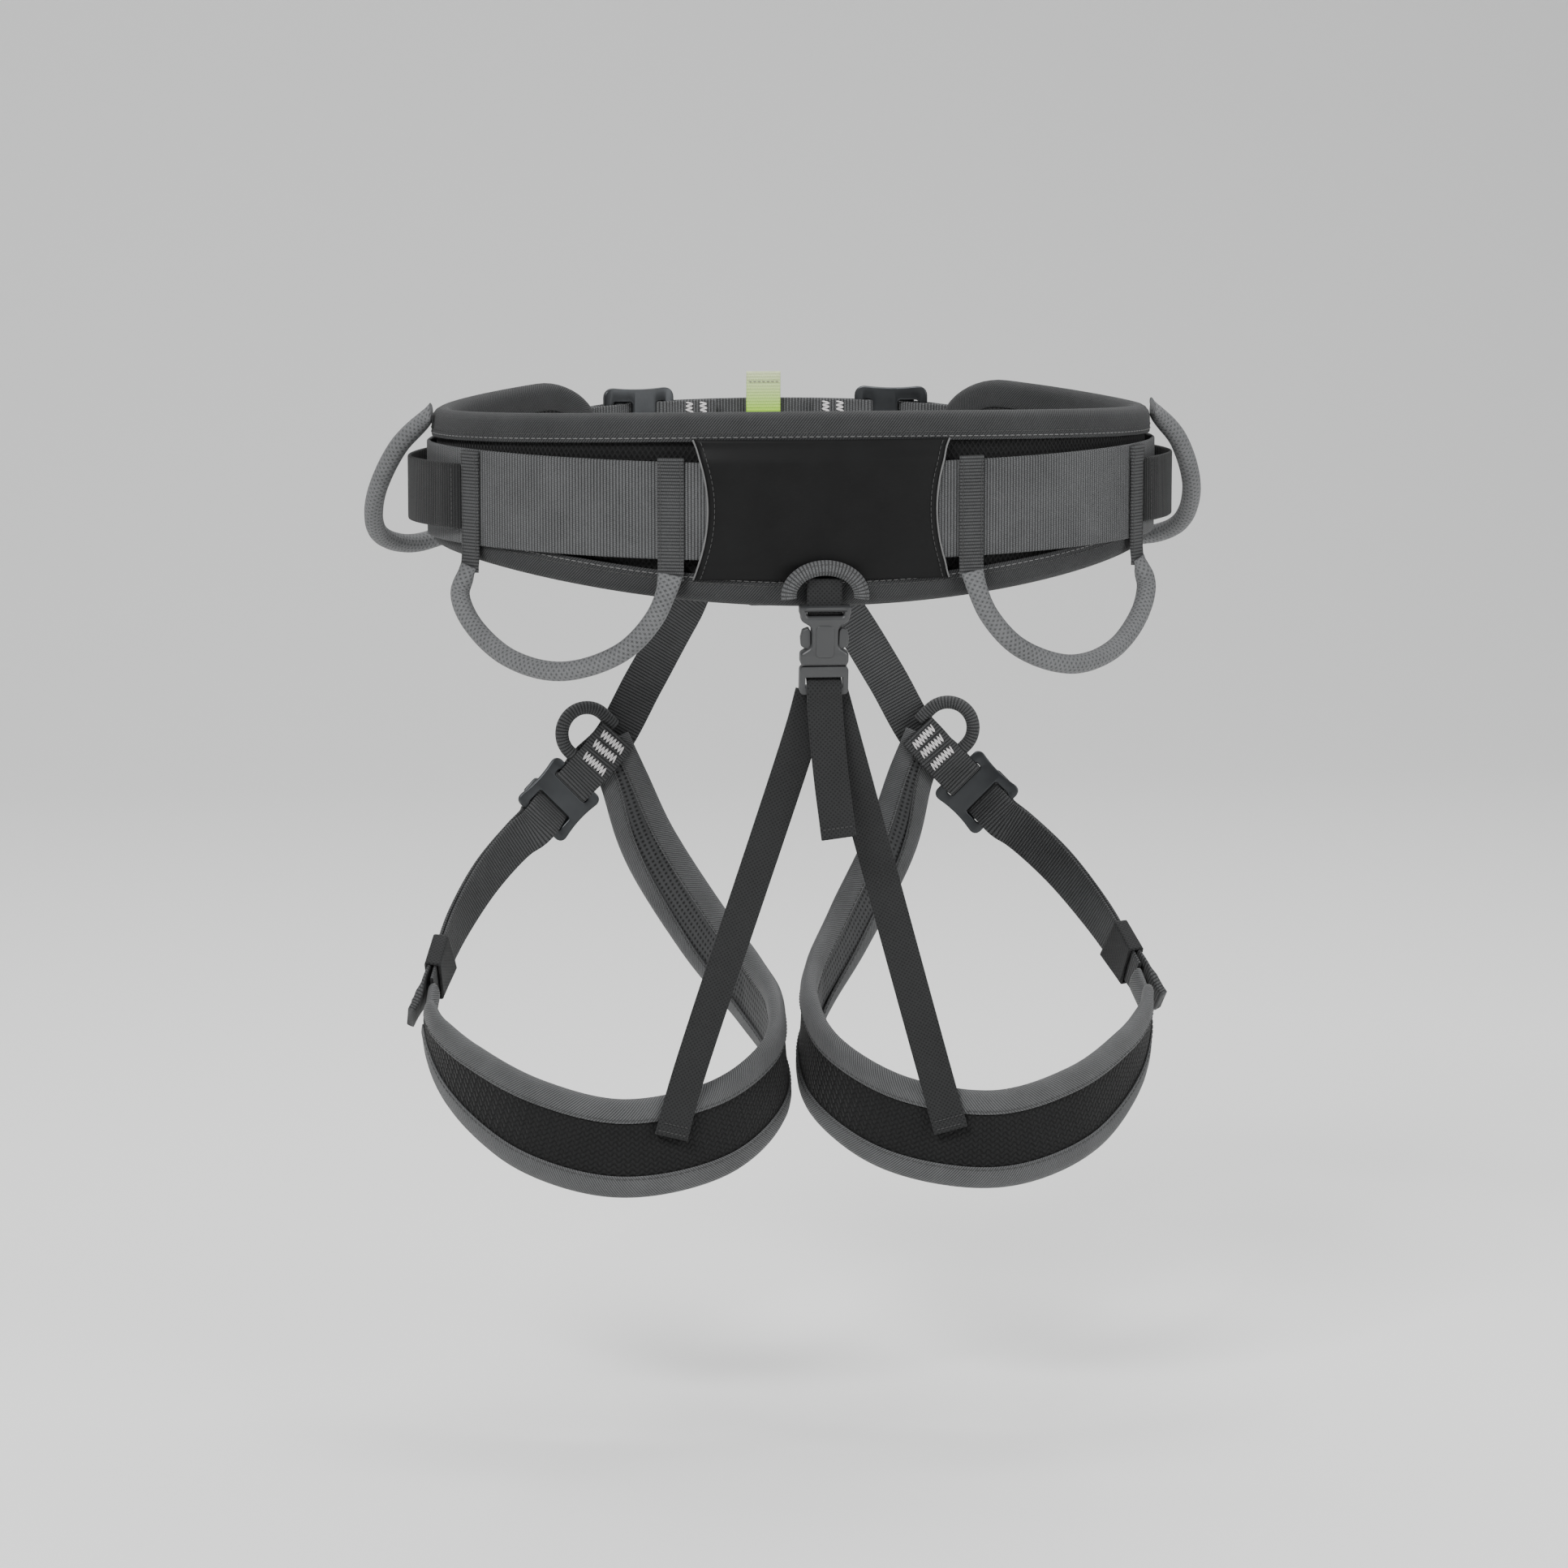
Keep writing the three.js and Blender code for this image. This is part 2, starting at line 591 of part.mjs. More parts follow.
// An arch of webbing at the foot of the patch.
function haulLoop() {
  const front = WAIST_HALF_DEPTH + overWebbing + PATCH + GAP;
  const middle = -(front + HAUL_LOOP_THICK / 2);
  const frameAt = (t) => {
    const a = Math.PI * t;
    const x = -HAUL_LOOP_HALF_WIDTH * Math.cos(a);
    const at = new THREE.Vector3(x, middle, HAUL_LOOP_BASE + HAUL_LOOP_RISE * Math.sin(a));
    const out = new THREE.Vector3(x / HAUL_LOOP_HALF_WIDTH, 0, Math.sin(a)).normalize();
    return { at, across: new THREE.Vector3(0, 1, 0), out };
  };
  const half = HAUL_LOOP_THICK / 2;
  return add("haul_loop", sweep(oval(half, 3.4), frameAt, 14), webbingGrey);
}

function centreTab() {
  const depth = waistBuckleDepth - 2.5 * WAIST_BUCKLE_SCALE + WAIST_WEBBING_THICK / 2 + GAP;
  const reach = CENTRE_TAB_WIDTH / 2 / waistRadius(180) / DEGREE;
  const low = webbingRise(180) - WAIST_WEBBING / 2 + 24;
  const section = rectangle(-(CENTRE_TAB_TOP - low) / 2, depth, (CENTRE_TAB_TOP - low) / 2, depth + PATCH);
  const rise = () => (CENTRE_TAB_TOP + low) / 2;
  const band = waistBand(section, [180 - reach, 180, 180 + reach], rise);
  return add("centre_tab", build(band), tabGreen);
}

rearPatch();
haulLoop();
centreTab();
for (const side of [1, -1]) {
  const name = side > 0 ? "right" : "left";
  gearTape(side, "inner");
  gearTape(side, "outer");
  gearLoop(`gear_loop_rear_${name}`, side, REAR_LOOP);
  gearLoop(`gear_loop_side_${name}`, side, SIDE_LOOP);
  toolSlot(side);
}

// ---------------------------------------------------------------- tie-in at the front
const tieInY = WAIST_HALF_DEPTH + waistBuckleDepth;
const ventral = new THREE.Vector3(0, tieInY, VENTRAL_HEIGHT);

// The tie-in loop's ends lie between the two layers of the front bridge.
function tieInLoop() {
  const half = TIE_IN_HALF_WIDTH;
  const points = [
    [half, 6],
    [half, -20],
    [half * 0.8, -30],
    [half * 0.4, TIE_IN_HEIGHT + 1],
    [0, TIE_IN_HEIGHT],
  ].map(([x, z]) => new THREE.Vector3(x, tieInY - x * x * 0.002, z));
  const all = [...points, ...points.slice(0, -1).reverse().map(mirror)];
  const outs = [new THREE.Vector3(0, 1, 0)];
  const flat = [1.1, 1.1, 1.6, 3, 3.5];
  const thicks = [...flat, ...flat.slice(0, -1).reverse()];
  return add("tie_in_loop", sweep(oval(3.5, 1), route(all, outs, [1], thicks), 16), tapeGrey);
}

// A closed ring cannot be swept from end to end, so it is an outline with a hole, across the width of the loop.
function ventralLoop() {
  const ring = (grow, Kind) => {
    const radius = VENTRAL_HALF_OPENING + grow;
    const outline = new Kind();
    outline.absarc(0, VENTRAL_ABOVE - VENTRAL_HALF_OPENING, radius, 0, Math.PI);
    outline.absarc(0, -VENTRAL_BELOW + VENTRAL_HALF_OPENING, radius, Math.PI, 2 * Math.PI);
    return outline;
  };
  const shape = ring(VENTRAL_THICK, THREE.Shape);
  shape.holes.push(ring(0, THREE.Path));
  const depth = VENTRAL_WIDTH;
  const geometry = new THREE.ExtrudeGeometry(shape, { depth, bevelEnabled: false, curveSegments: 7 });
  geometry.translate(0, 0, -VENTRAL_WIDTH / 2);
  const mesh = add("ventral_loop", geometry, webbingGrey);
  const axes = new THREE.Matrix4().makeBasis(new THREE.Vector3(0, 1, 0), UP, new THREE.Vector3(1, 0, 0));
  mesh.quaternion.setFromRotationMatrix(axes);
  mesh.position.copy(ventral);
  return mesh;
}

// The short arch that joins the two leg risers inside the ventral loop.
function legBridge() {
  const points = [-1, -0.5, 0, 0.5, 1].map((share) => {
    const x = BRIDGE_HALF_SPAN * share;
    return new THREE.Vector3(x, tieInY, VENTRAL_HEIGHT - 4 * share * share);
  });
  const half = LEG_WEBBING / 2;
  return add("leg_bridge", sweep(rectangle(-half, -1.6, half, 1.6), route(points, [UP]), 6), webbingGrey);
}

tieInLoop();
ventralLoop();
legBridge();

// ---------------------------------------------------------------- rear release buckle
// The buckle hangs along the arc that the leg loops drop through, so that the plug comes straight out.
const socketY = -(WAIST_HALF_DEPTH + overWebbing + PATCH + 2);
const dropAngle = Math.atan2(ventral.z - SOCKET_TOP + SOCKET_LENGTH, ventral.y - socketY);
const release = new THREE.Group();
release.position.set(0, socketY, SOCKET_TOP);
release.rotation.x = dropAngle;
model.add(release);

function buckleHanger() {
  const top = HAUL_LOOP_BASE + HAUL_LOOP_RISE - 7;
  const y = socketY + 0.2;
  const half = ELASTIC_WIDTH / 2;
  const geometry = box(-half, half, y - ELASTIC / 2, y + ELASTIC / 2, SOCKET_TOP + 0.6, top);
  return add("buckle_hanger", geometry, elasticBlack);
}

function buckleSocket() {
  const w = SOCKET_WIDTH / 2;
  const d = SOCKET_DEPTH / 2;
  const wall = SOCKET_WALL;
  const shell = new THREE.ExtrudeGeometry(roundedRectangle(2 * w, 2 * d, 2.5), {
    depth: SOCKET_LENGTH,
    bevelEnabled: false,
    curveSegments: 2,
  }).translate(0, 0, -SOCKET_LENGTH);
  const hollow = box(-w + wall, w - wall, -d + wall, d - wall, -SOCKET_LENGTH - 1, -4);
  const windows = box(-w - 1, w + 1, -d + wall, d - wall, -20, -7);
  const cut = solid(shell).subtract(solid(hollow)).subtract(solid(windows));
  return add("buckle_socket", geometryOf(cut), bucklePlastic, release);
}

// The plug: a frame with a slot for the elastic straps, and the tongue that guides it into the socket.
function bucklePlug() {
  const w = SOCKET_WIDTH / 2;
  const top = -SOCKET_LENGTH - GAP;
  const frame = new THREE.ExtrudeGeometry(roundedRectangle(2 * w, PLUG_LENGTH, 2, top - PLUG_LENGTH / 2), {
    depth: 6,
    bevelEnabled: false,
    curveSegments: 2,
  }).rotateX(Math.PI / 2).translate(0, 3, 0);
  const slot = box(-w + 2.5, w - 2.5, -5, 5, top - 9.5, top - 5);
  const tongue = box(-1.4, 1.4, -1.5, 1.5, top - 1, -12);
  const plug = solid(frame).subtract(solid(slot)).add(solid(tongue));
  return add("buckle_plug", geometryOf(plug), bucklePlastic, release);
}

// A springy arm with a thumb pad that stands in the socket's window.
function prong(side) {
  const root = -SOCKET_LENGTH + 1;
  const shape = new THREE.Shape();
  shape.moveTo(5.6, root);
  shape.lineTo(5.6 + PRONG_THICK, root);
  shape.lineTo(5.6 + PRONG_THICK, -19.4);
  shape.lineTo(SOCKET_WIDTH / 2 - 0.3, -18);
  shape.lineTo(SOCKET_WIDTH / 2, -14);
  shape.lineTo(SOCKET_WIDTH / 2 - 0.8, -10.5);
  shape.lineTo(7.4, -9.4);
  shape.lineTo(6.4, -11);
  const geometry = new THREE.ExtrudeGeometry(shape, { depth: 4, bevelEnabled: false });
  geometry.rotateX(Math.PI / 2).translate(0, 2, 0);
  if (side < 0) geometry.rotateZ(Math.PI);
  return add(side > 0 ? "plug_prong_right" : "plug_prong_left", geometry, bucklePlastic, release);
}

function elasticTail() {
  const top = release.localToWorld(new THREE.Vector3(0, 0, -SOCKET_LENGTH - PLUG_LENGTH - 1.6));
  const points = [
    top,
    new THREE.Vector3(3, top.y - 1, (top.z + ELASTIC_TAIL_END) / 2),
    new THREE.Vector3(7, top.y - 2, ELASTIC_TAIL_END),
  ];
  const half = ELASTIC_WIDTH / 2;
  const section = rectangle(-half, -ELASTIC / 2, half, ELASTIC / 2);
  return add("elastic_tail", sweep(section, route(points, [new THREE.Vector3(0, -1, 0)]), 6), elasticBlack);
}

release.updateMatrixWorld(true);
buckleHanger();
buckleSocket();
bucklePlug();
elasticTail();
prong(1);
prong(-1);

// ---------------------------------------------------------------- leg loops, drawn on the wearer's right
const legPadDepth = {
  mesh: [-MESH / 2, MESH / 2],
  foam: [-MESH / 2 - 2 * GAP - LEG_FOAM, -MESH / 2 - 2 * GAP],
};
const LEG_TAPE = { inner: legPadDepth.foam[0] - GAP, outer: legPadDepth.mesh[1] + GAP };

// The direction away from the middle of the thigh.
const fromThigh = (point) => new THREE.Vector3(point.x - THIGH.x, point.y - THIGH.y, 0).normalize();

const padPoints = LEG_PAD_STOPS.map(([x, y, z]) => new THREE.Vector3(x, y, z));
const padWidths = LEG_PAD_STOPS.map((stop) => stop[3]);
const padThicks = LEG_PAD_STOPS.map((stop) => stop[4]);
const padFrame = route(padPoints, padPoints.map(fromThigh), padWidths, padThicks);
const PAD_STEPS = 3 * (LEG_PAD_STOPS.length - 1);

function legPadLayer(name, side, depths, material) {
  const frameAt = (t) => {
    const frame = padFrame(t);
    return { ...frame, width: frame.width - 2 * PAD_INSET };
  };
  return add(name, layer(1, depths, onSide(side, frameAt), PAD_STEPS, 4), material);
}

// The binding along the pad's top edge (edge 1) or bottom edge (edge -1), open towards the pad.
function legBinding(name, side, edge) {
  const frameAt = (t) => {
    const frame = padFrame(edge > 0 ? 1 - t : t);
    const at = frame.at.clone().addScaledVector(frame.across, (edge * frame.width) / 2);
    return { at, across: frame.across.clone().multiplyScalar(-edge), out: frame.out, thick: frame.thick };
  };
  const reach = new THREE.Shape([
    new THREE.Vector2(-TAPE, LEG_TAPE.inner - TAPE),
    new THREE.Vector2(LEG_TAPE_WIDTH, LEG_TAPE.inner - TAPE),
    new THREE.Vector2(LEG_TAPE_WIDTH, LEG_TAPE.inner),
    new THREE.Vector2(0, LEG_TAPE.inner),
    new THREE.Vector2(0, LEG_TAPE.outer),
    new THREE.Vector2(LEG_TAPE_WIDTH, LEG_TAPE.outer),
    new THREE.Vector2(LEG_TAPE_WIDTH, LEG_TAPE.outer + TAPE),
    new THREE.Vector2(-TAPE, LEG_TAPE.outer + TAPE),
  ]);
  return add(name, sweep(reach, onSide(side, frameAt), PAD_STEPS), tapeGrey);
}

// The middle of the leg buckle, and the strap's way down from it to the pad's outer end.
const legBuckleAt = new THREE.Vector3(104, 94, -174);
const STRAP_STOPS = [
  [124, 87, -192],
  [141, 73, -208],
  [157, 53, -229],
  [167, 32, -246],
].map(([x, y, z]) => new THREE.Vector3(x, y, z));
const neckTop = new THREE.Vector3(172, 19, -255.5);

const legBuckleForward = new THREE.Vector3(0.69, -0.17, -0.7).normalize();
const legBuckleOut = fromThigh(legBuckleAt);
legBuckleOut.addScaledVector(legBuckleForward, -legBuckleOut.dot(legBuckleForward)).normalize();
const legBuckleFrame = { at: legBuckleAt, out: legBuckleOut, up: legBuckleForward.clone().negate() };

// A point in the leg buckle's frame: along the strap, away from the riser, and out from the thigh.
function fromLegBuckle([along, lift]) {
  return legBuckleAt.clone().addScaledVector(legBuckleForward, along).addScaledVector(legBuckleOut, lift);
}

// The outward direction along a fold: out, then round the bar, then inwards.
const foldOuts = (count) =>
  Array.from({ length: count }, (_, i) => {
    const a = (Math.PI * i) / (count - 1);
    return legBuckleOut.clone().multiplyScalar(Math.cos(a)).addScaledVector(legBuckleForward, Math.sin(a));
  });

const webbingSection = (width) =>
  rectangle(-width / 2, -LEG_WEBBING_THICK / 2, width / 2, LEG_WEBBING_THICK / 2);

// The riser comes down from the leg bridge, twists to lie flat, passes the pad's end outside, goes round the
// buckle's upper bar, and ends on the inner side of the pad.
function legRiser(name, side) {
  const down = [
    new THREE.Vector3(BRIDGE_HALF_SPAN + RISER_CLEARANCE, tieInY, VENTRAL_HEIGHT - 4.8),
    new THREE.Vector3(25, tieInY - 0.5, VENTRAL_HEIGHT - 13),
    new THREE.Vector3(40, 113, -84),
    new THREE.Vector3(60, 107, -117),
  ];
  // Beside the pad's end the riser faces as the pad does, and it turns to the buckle below.
  const beside = (along, lift) => {
    const at = fromLegBuckle([along, 0]);
    const out = fromThigh(at).lerp(legBuckleOut, (along + 36) / 22).normalize();
    return { at: at.addScaledVector(out, lift), out };
  };
  const outside = [beside(-38, 4.2), beside(-24, 5.6), beside(-19, 4.4)];
  const fold = FIXED_END.map(fromLegBuckle);
  const inside = [beside(-26, -4.6), beside(-36, -5.2), beside(-44, -5.2)];
  const outs = [
    new THREE.Vector3(0.3, 0, 1),
    new THREE.Vector3(0.6, 0.45, 0.6),
    new THREE.Vector3(0.2, 1, 0.2),
    new THREE.Vector3(0, 1, 0),
    ...outside.map(({ out }) => out),
    ...foldOuts(FIXED_END.length),
    ...inside.map(({ out }) => out.clone().negate()),
  ];
  const points = [...down, ...outside.map(({ at }) => at), ...fold, ...inside.map(({ at }) => at)];
  const frameAt = onSide(side, route(points, outs));
  const half = LEG_WEBBING_THICK / 2;
  return add(name, layer(LEG_WEBBING, [-half, half], frameAt, 2 * (points.length - 1), 2), webbingGrey);
}

// The adjusting strap comes up from the neck, goes round the slider, and its tail comes down outside.
function legStrap(name, side) {
  const layer = LEG_WEBBING_THICK / 2 + GAP;
  const offset = (point, lift) => point.clone().addScaledVector(fromThigh(point), lift);
  const up = [neckTop, ...[...STRAP_STOPS].reverse()].map((point) => offset(point, -layer));
  const fold = ADJUSTING_END.map(fromLegBuckle);
  const down = STRAP_STOPS.map((point) => offset(point, layer));
  const stop = [offset(neckTop, layer + 2), new THREE.Vector3(181.5, 12, -266)];
  const inward = (point) => fromThigh(point).negate();
  const outs = [...up.map(inward), ...foldOuts(fold.length).reverse(), ...down.map(fromThigh), ...stop.map(fromThigh)];
  const thicks = outs.map(() => 1);
  thicks[thicks.length - 1] = 2.2;
  const points = [...up, ...fold, ...down, ...stop];
  const frameAt = route(points, outs, [1], thicks);
  return add(name, sweep(webbingSection(LEG_WEBBING), onSide(side, frameAt), 2 * (points.length - 1)), webbingGrey);
}

// A dark sleeve round both layers of the strap, just above the neck.
function legKeeper(name, side) {
  const w = LEG_WEBBING / 2 + 2 * GAP;
  const d = LEG_WEBBING_THICK + 3 * GAP + 0.3;
  const section = rectangle(-w - KEEPER_THICK, -d - KEEPER_THICK, w + KEEPER_THICK, d + KEEPER_THICK);
  section.holes.push(new THREE.Path(rectangle(-w, -d, w, d).getPoints()));
  const strap = [...STRAP_STOPS, neckTop];
  const full = route(strap, strap.map(fromThigh));
  const frameAt = (t) => full(THREE.MathUtils.lerp(...LEG_KEEPER_SPAN, t));
  return add(name, sweep(section, onSide(side, frameAt), 3), slotBlack);
}

// The neck is the pad's own webbing, folded narrow and sewn round the end of the strap.
function legNeck(name, side) {
  const padEnd = padPoints[padPoints.length - 1];
  const start = padEnd.clone().lerp(neckTop, 0.12);
  const end = padEnd.clone().lerp(neckTop, 0.93);
  const points = [start, padEnd.clone().lerp(neckTop, 0.5), end];
  const inset = points.map((point) => point.clone().addScaledVector(fromThigh(point), -2));
  const frameAt = route(inset, points.map(fromThigh));
  return add(name, sweep(oval(8.5, 3), onSide(side, frameAt), 4), tapeGrey);
}

// A short tubular loop that stands out from the riser's outer edge.
function legRing(name, side) {
  const middle = fromLegBuckle([-33, 0]);
  const across = legBuckleFrame.up.clone().cross(legBuckleFrame.out);
  const lateral = across.x > 0 ? across : across.negate();
  middle.addScaledVector(lateral, LEG_WEBBING / 2 + 1.5 + 4 * GAP);
  const frameAt = (t) => {
    const a = Math.PI * (t - 0.5);
    const radial = lateral.clone().multiplyScalar(Math.cos(a)).addScaledVector(legBuckleForward, Math.sin(a));
    const forward = lateral.clone().multiplyScalar(-Math.sin(a)).addScaledVector(legBuckleForward, Math.cos(a));
    return { at: middle.clone().addScaledVector(radial, LEG_RING_RADIUS), out: radial, across: radial.clone().cross(forward) };
  };
  return add(name, sweep(oval(3.5, 3.5), onSide(side, frameAt), 12), braidGrey);
}

// An elastic strap from the plug to the middle of the pad's back.
function elasticStrap(name, side) {
  const top = release.localToWorld(new THREE.Vector3(0, 0, -SOCKET_LENGTH - PLUG_LENGTH - 3));
  const layer = side > 0 ? 3 : 6;
  const padBack = padFrame(ELASTIC_FOOT);
  const foot = LEG_TAPE.outer + TAPE + GAP + ELASTIC;
  const low = padBack.at.clone().addScaledVector(padBack.out, foot);
  const points = [
    new THREE.Vector3(9, top.y + layer, top.z),
    new THREE.Vector3(13, top.y + layer, top.z - 14),
    low.clone().addScaledVector(UP, padBack.width / 2 + 6),
    low.clone().addScaledVector(UP, padBack.width / 2 - 16),
  ];
  const outs = [new THREE.Vector3(0, -1, 0), new THREE.Vector3(0, -1, 0), padBack.out, padBack.out];
  const half = ELASTIC_WIDTH / 2;
  const section = rectangle(-half, -ELASTIC / 2, half, ELASTIC / 2);
  return add(name, sweep(section, onSide(side, route(points, outs)), 12), elasticBlack);
}

for (const side of [1, -1]) {
  const name = side > 0 ? "right" : "left";
  legPadLayer(`leg_mesh_${name}`, side, legPadDepth.mesh, meshBlack);
  legPadLayer(`leg_padding_${name}`, side, legPadDepth.foam, liningGrey);
  legBinding(`leg_binding_top_${name}`, side, 1);
  legBinding(`leg_binding_bottom_${name}`, side, -1);
  legRiser(`leg_riser_${name}`, side);
  legStrap(`leg_strap_${name}`, side);
  legKeeper(`leg_keeper_${name}`, side);
  legNeck(`leg_neck_${name}`, side);
  legRing(`leg_ring_${name}`, side);
  elasticStrap(`elastic_strap_${name}`, side);
  const names = { frame: `leg_buckle_frame_${name}`, slider: `leg_buckle_slider_${name}` };
  buckle(names, side > 0 ? legBuckleFrame : mirrorFrame(legBuckleFrame), LEG_BUCKLE_WIDTH, LEG_WEBBING, 1);
}

export default model;
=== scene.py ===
import math

import bmesh
import bpy
import numpy as np
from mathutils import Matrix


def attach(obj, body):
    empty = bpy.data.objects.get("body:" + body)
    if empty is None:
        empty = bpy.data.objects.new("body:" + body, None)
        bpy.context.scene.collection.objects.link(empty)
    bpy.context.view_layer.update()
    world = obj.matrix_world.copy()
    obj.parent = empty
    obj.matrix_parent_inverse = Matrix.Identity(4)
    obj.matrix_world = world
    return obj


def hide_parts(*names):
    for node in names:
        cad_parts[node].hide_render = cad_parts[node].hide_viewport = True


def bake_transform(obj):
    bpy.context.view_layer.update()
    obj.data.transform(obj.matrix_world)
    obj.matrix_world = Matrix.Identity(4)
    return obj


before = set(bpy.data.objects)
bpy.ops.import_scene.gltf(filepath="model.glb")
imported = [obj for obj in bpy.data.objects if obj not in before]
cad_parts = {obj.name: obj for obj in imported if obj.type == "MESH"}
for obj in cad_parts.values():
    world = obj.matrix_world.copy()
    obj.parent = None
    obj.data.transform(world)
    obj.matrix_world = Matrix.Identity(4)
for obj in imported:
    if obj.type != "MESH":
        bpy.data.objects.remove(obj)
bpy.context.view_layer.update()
MM = 0.001
rng = np.random.default_rng(7)

# ---------------------------------------------------------------------------------------------
# Camera, floor and lights. The saddle is seen from behind, a little from its left and above. It
# hangs over a pale floor that runs up into a backdrop, under large soft lamps.
CAMERA_AZIMUTH = math.radians(-7)
CAMERA_ELEVATION = math.radians(8)
CAMERA_DISTANCE = 2.4
CAMERA_TARGET = np.array([-4, 0, -155]) * MM
FLOOR_HEIGHT = -450 * MM
BACKDROP_START = 2.1
BACKDROP_RADIUS = 1.5


def aim(obj, place, target):
    """Puts an object at place with its local -Z towards target and its local +Y up."""
    obj.location = place
    away = obj.location - type(obj.location)(target)
    obj.rotation_euler = away.to_track_quat("Z", "Y").to_euler()


def make_camera():
    """The camera, on the line from its target at the azimuth, elevation and distance above."""
    flat = math.cos(CAMERA_ELEVATION)
    direction = [math.sin(CAMERA_AZIMUTH) * flat, -math.cos(CAMERA_AZIMUTH) * flat,
                 math.sin(CAMERA_ELEVATION)]
    camera = bpy.data.objects.new("camera", bpy.data.cameras.new("camera"))
    camera.data.lens = 116
    camera.data.sensor_width = 36
    bpy.context.scene.collection.objects.link(camera)
    aim(camera, CAMERA_TARGET + CAMERA_DISTANCE * np.array(direction), CAMERA_TARGET)
    bpy.context.scene.camera = camera


def make_lamp(name, place, size, power):
    """A soft rectangular area lamp, aimed at the middle of the saddle."""
    lamp = bpy.data.lights.new(name, "AREA")
    lamp.shape = "RECTANGLE"
    lamp.size = size
    lamp.size_y = size * 0.7
    lamp.energy = power
    obj = bpy.data.objects.new(name, lamp)
    bpy.context.scene.collection.objects.link(obj)
    aim(obj, np.array(place), np.array([0, 0, -0.12]))


def make_stage():
    """A floor that curves up behind: depth and height of each row follow a quarter circle between two
    planes."""
    turn = np.linspace(0, math.pi / 2, 16)
    rows = [[BACKDROP_START + BACKDROP_RADIUS * math.sin(a), BACKDROP_RADIUS - BACKDROP_RADIUS * math.cos(a)]
            for a in turn]
    rows = [[-6, 0]] + rows + [[BACKDROP_START + BACKDROP_RADIUS, 6]]
    rows = np.array(rows)
    x = np.array([-7, 7])
    verts = np.array([[[a, y, FLOOR_HEIGHT + z] for a in x] for y, z in rows]).reshape(-1, 3)
    faces = [[2 * i, 2 * i + 1, 2 * i + 3, 2 * i + 2] for i in range(len(rows) - 1)]
    mesh = bpy.data.meshes.new("floor")
    mesh.from_pydata(verts.tolist(), [], faces)
    mesh.polygons.foreach_set("use_smooth", [True] * len(faces))
    floor = bpy.data.objects.new("floor", mesh)
    bpy.context.scene.collection.objects.link(floor)
    material = bpy.data.materials.new("pale_floor")
    material.use_nodes = True
    shader = material.node_tree.nodes["Principled BSDF"]
    shader.inputs["Base Color"].default_value = (0.9, 0.9, 0.89, 1)
    shader.inputs["Roughness"].default_value = 0.85
    mesh.materials.append(material)


make_camera()
make_stage()
make_lamp("key", (-1.5, -2.0, 1.9), 1.3, 95)
make_lamp("fill", (2.0, -1.6, 0.8), 1.6, 38)
make_lamp("top", (0.2, 0.9, 2.2), 1.8, 60)
world = bpy.data.worlds.new("studio")
world.use_nodes = True
world.node_tree.nodes["Background"].inputs["Color"].default_value = (0.9, 0.92, 0.95, 1)
world.node_tree.nodes["Background"].inputs["Strength"].default_value = 0.3
bpy.context.scene.world = world

# ---------------------------------------------------------------------------------------------
# Padded waist belt. Spacer mesh outside and a brushed lining inside are laminated to a foam core
# and cut to one outline with round tips, so the pad is fullest along its middle.
WAIST_HALF_WIDTH = 168 * MM
WAIST_HALF_DEPTH = 111 * MM
BELT_TOP = (28 * MM, 24 * MM, 36 * MM)
BELT_BOTTOM = (-58 * MM, -38 * MM, -14 * MM)
BELT_END = math.radians(149)
BELT_TIP = math.radians(13)


def waist_normal(angle):
    """Outward normal of the waist oval at angles from the middle of the back."""
    n = np.stack([np.sin(angle) / WAIST_HALF_WIDTH, -np.cos(angle) / WAIST_HALF_DEPTH, 0 * angle], -1)
    return n / np.linalg.norm(n, axis=-1, keepdims=True)


def waist_point(angle, depth, z):
    """Point of the waist oval, moved out along its normal by depth, at height z."""
    angle, depth, z = np.broadcast_arrays(np.asarray(angle, float), depth, z)
    x = WAIST_HALF_WIDTH * np.sin(angle)
    y = -WAIST_HALF_DEPTH * np.cos(angle)
    return np.stack([x, y, z], -1) + waist_normal(angle) * depth[..., None]


def waist_height(values, angle):
    """Side value plus the squared cosine's share of the way to the rear or front value."""
    c = np.cos(angle)
    return values[1] + (np.where(c > 0, values[0], values[2]) - values[1]) * c * c


def new_object(name, verts, faces, uvs=None):
    """A smooth mesh object from points, faces and one UV pair per face corner, with its faces turned
    outwards."""
    mesh = bpy.data.meshes.new(name)
    mesh.from_pydata(np.asarray(verts).tolist(), [], faces)
    if uvs is not None:
        mesh.uv_layers.new(name="weave").data.foreach_set("uv", np.asarray(uvs, float).ravel())
    work = bmesh.new()
    work.from_mesh(mesh)
    bmesh.ops.recalc_face_normals(work, faces=work.faces)
    work.to_mesh(mesh)
    work.free()
    mesh.polygons.foreach_set("use_smooth", [True] * len(mesh.polygons))
    obj = bpy.data.objects.new(name, mesh)
    bpy.context.scene.collection.objects.link(obj)
    return obj


